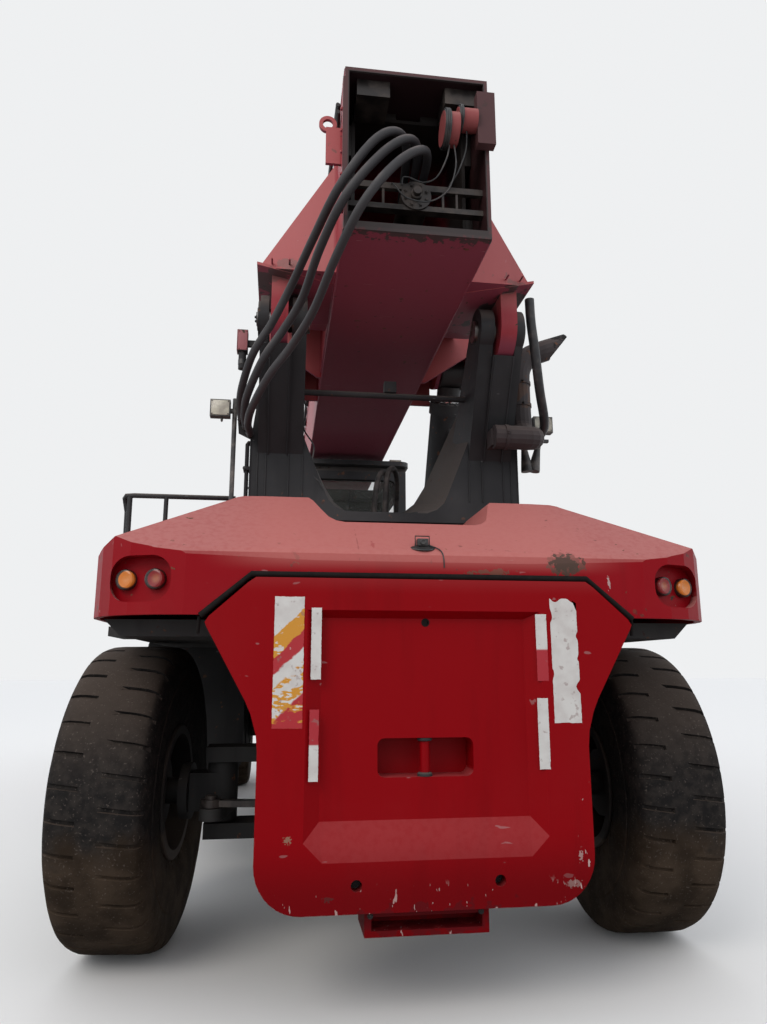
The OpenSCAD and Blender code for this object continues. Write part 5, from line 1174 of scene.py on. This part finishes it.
# Tyres: six industrial tyres, 1.6 m high, worn almost flat, with short thin grooves across both
# shoulders. The rubber is cast in a mould: side rings, and ribs along the wall. Mud below.
tread = Finish("tyre_rubber", (0.05, 0.045, 0.042), 0.85, Specular_IOR_Level=0.12)
height = tread.part(tread.place(), "Z")
cake = tread.noise(6, 6)
mud = (height + (cake - 0.5) * 0.45).band(0.74, 0.56)
shade = tread.mix(tread.noise(22, 5).band(0.35, 0.7), (0.011, 0.010, 0.010), (0.026, 0.022, 0.020))
shade = tread.mix(tread.facing_up().band(0.1, 0.8) * 0.8, shade, (0.070, 0.052, 0.042))
mud_tint = tread.mix(cake.band(0.35, 0.65), (0.028, 0.018, 0.011), (0.062, 0.042, 0.028))
shade = tread.mix(mud * 0.85, shade, mud_tint)
shade = tread.mix(tread.noise(90, 3).band(0.62, 0.68) * 0.4, shade, (0.14, 0.115, 0.10))
tread.set("Base Color", shade)
tread.set("Roughness", tread.noise(30, 4) * 0.2 + 0.72)
tread.bump(tread.noise(70, 5) + cake * 2.0, 0.5, 0.003)
pitches = 33
tyre_radius, rear_axle_y, front_axle_y = 0.798, -4.4905, 1.5095
# Distance across the tyre and radius, from the inner bead over the tread to the outer bead
wall_line = ((-0.183, 0.3225), (-0.210, 0.3625), (-0.225, 0.415), (-0.239, 0.468), (-0.2435, 0.520),
             (-0.245, 0.568), (-0.2445, 0.612), (-0.240, 0.618), (-0.240, 0.626), (-0.243, 0.632),
             (-0.241, 0.678), (-0.233, 0.738))
crown_line = ((-0.222, 0.7605), (-0.215, 0.7715), (-0.205, 0.7795), (-0.190, 0.7865), (-0.167, 0.794),
              (-0.140, 0.7963), (-0.115, 0.798), (-0.090, 0.798), (-0.073, 0.798), (-0.066, 0.798),
              (-0.033, 0.798), (0.0, 0.798))
half_line = wall_line + crown_line
line = half_line + tuple((-offset, r) for offset, r in half_line[-2::-1])
# Columns of one pitch, in parts of it, with the cut that each row of grooves has there
column_line = ((-0.100, 0, 0), (-0.078, 0, 0), (-0.062, 1, 0), (0.062, 1, 0), (0.078, 0, 0), (0.100, 0, 0),
               (0.25, 0, 0), (0.400, 0, 0), (0.422, 0, 0), (0.438, 0, 1), (0.562, 0, 1), (0.578, 0, 0),
               (0.600, 0, 0), (0.75, 0, 0))


def tyre(name, centre, turn, body, node, lean=0.12):
    """One tyre on its axle, which points along X once it is turned about Z."""
    mesh = bmesh.new()
    axle = Vector((math.cos(turn), math.sin(turn), 0))
    rolling = Vector((-math.sin(turn), math.cos(turn), 0))
    count = len(line)
    inward = []
    for i in range(count):
        a, b = Vector(line[max(i - 1, 0)]), Vector(line[min(i + 1, count - 1)])
        along = (b - a).normalized()
        inward.append((along.y, -along.x))
    rows = []
    for pitch in range(pitches):
        wear = [random.uniform(0.85, 1.15) for _ in range(2)]
        for part, left_cut, right_cut in column_line:
            base_angle = 2 * math.pi * (pitch + part) / pitches
            row = []
            for i, (l, r) in enumerate(line):
                on_left = -0.216 <= l <= -0.072
                on_right = 0.066 <= l <= 0.222
                cut = 0.016 * (left_cut * on_left * wear[0] + right_cut * on_right * wear[1])
                if abs(l) > 0.2:
                    cut *= 0.7
                dent = 0.0012 * noise.noise(Vector((l * 9, base_angle * 6, centre[0]))) + 0.0012
                sink = cut + dent
                l2, r2 = l + inward[i][0] * sink, r + inward[i][1] * sink
                angle = base_angle + (lean * l / tyre_radius if r > 0.7 else 0)
                row.append(mesh.verts.new(Vector(centre) + axle * l2 + rolling * (r2 * math.sin(angle))
                                          + Vector((0, 0, -r2 * math.cos(angle)))))
            rows.append(row)
    for low, high in zip(rows, rows[1:] + rows[:1]):
        for i in range(count):
            mesh.faces.new((low[i], low[(i + 1) % count], high[(i + 1) % count], high[i]))
    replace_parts(Pile(mesh).done(name, tread, "tyre_rubber", body, 0.6), node)


# Each steered wheel stands this far turned at rest, on an arm from its kingpin
rear_turns = (("left", -1, math.radians(-6)), ("right", 1, math.radians(-1.5)))
kingpin_x, arm = 0.95, 0.467
hubs = {}
for name, side, turn in rear_turns:
    hubs[name] = Vector((side * (kingpin_x + arm * math.cos(turn)), side * arm * math.sin(turn) + rear_axle_y,
                         tyre_radius))
    tyre(f"tyre_rear_{name}", hubs[name], turn, f"rear_wheel_{name}", f"rear_tyre_{name}")
    for number, x in enumerate((1.225, 1.795)):
        tyre(f"tyre_front_{name}_{number + 1}", (side * x, front_axle_y, tyre_radius), 0.0,
             f"front_wheels_{name}", f"front_tyres_{name}")

# Rims and hubs: pressed and welded steel, near black as painted shade for the dark inside the
# wheels, browned by brake dust and mud, with wheel nuts on both flanges, hub cap bolts and tyre valves.
rim_paint = worn_paint("rim_paint", (0.016, 0.013, 0.012), 0.4, (0.13, 0.10, 0.08), 0.8, 0.6, 0.15, 0.6,
                       marks=(((0, 0, 0.35), (3, 9, 0.28), (0.075, 0.055, 0.043), 0.7),))
dress(rim_paint, "rear_rim_left", "rear_rim_right", "front_rims_left", "front_rims_right")
for name, side, turn in rear_turns:
    hub = hubs[name]
    axle = Vector((math.cos(turn), math.sin(turn), 0)) * side
    front = Vector((-math.sin(turn), math.cos(turn), 0))
    nuts = Pile()
    nuts.bolt_ring(hub + axle * 0.082, axle, 0.175, 12, 0.017, 0, front, (0, 0, 1))
    nuts.bolt_ring(hub + axle * 0.150, axle, 0.085, 6, 0.008, 0, front, (0, 0, 1))
    nuts.turned([(0.007, 0), (0.007, 0.03), (0.010, 0.032), (0.010, 0.05), (0, 0.052)],
                hub + axle * 0.034 + front * 0.285, axle, 10)
    nuts.done(f"wheel_nuts_rear_{name}", steel, "pin_steel", f"rear_wheel_{name}")
    nuts = Pile()
    for x, radius, count, size in ((1.846, 0.190, 16, 0.017), (1.888, 0.12, 8, 0.009)):
        nuts.bolt_ring((side * x, front_axle_y, tyre_radius), (side, 0, 0), radius, count, size, 0,
                       (0, 1, 0), (0, 0, 1))
    nuts.turned([(0.028, 0), (0.028, 0.010), (0.018, 0.016), (0, 0.016)],
                (side * 1.900, front_axle_y, tyre_radius), (side, 0, 0), 6)
    nuts.done(f"wheel_nuts_front_{name}", steel, "pin_steel", f"front_wheels_{name}")
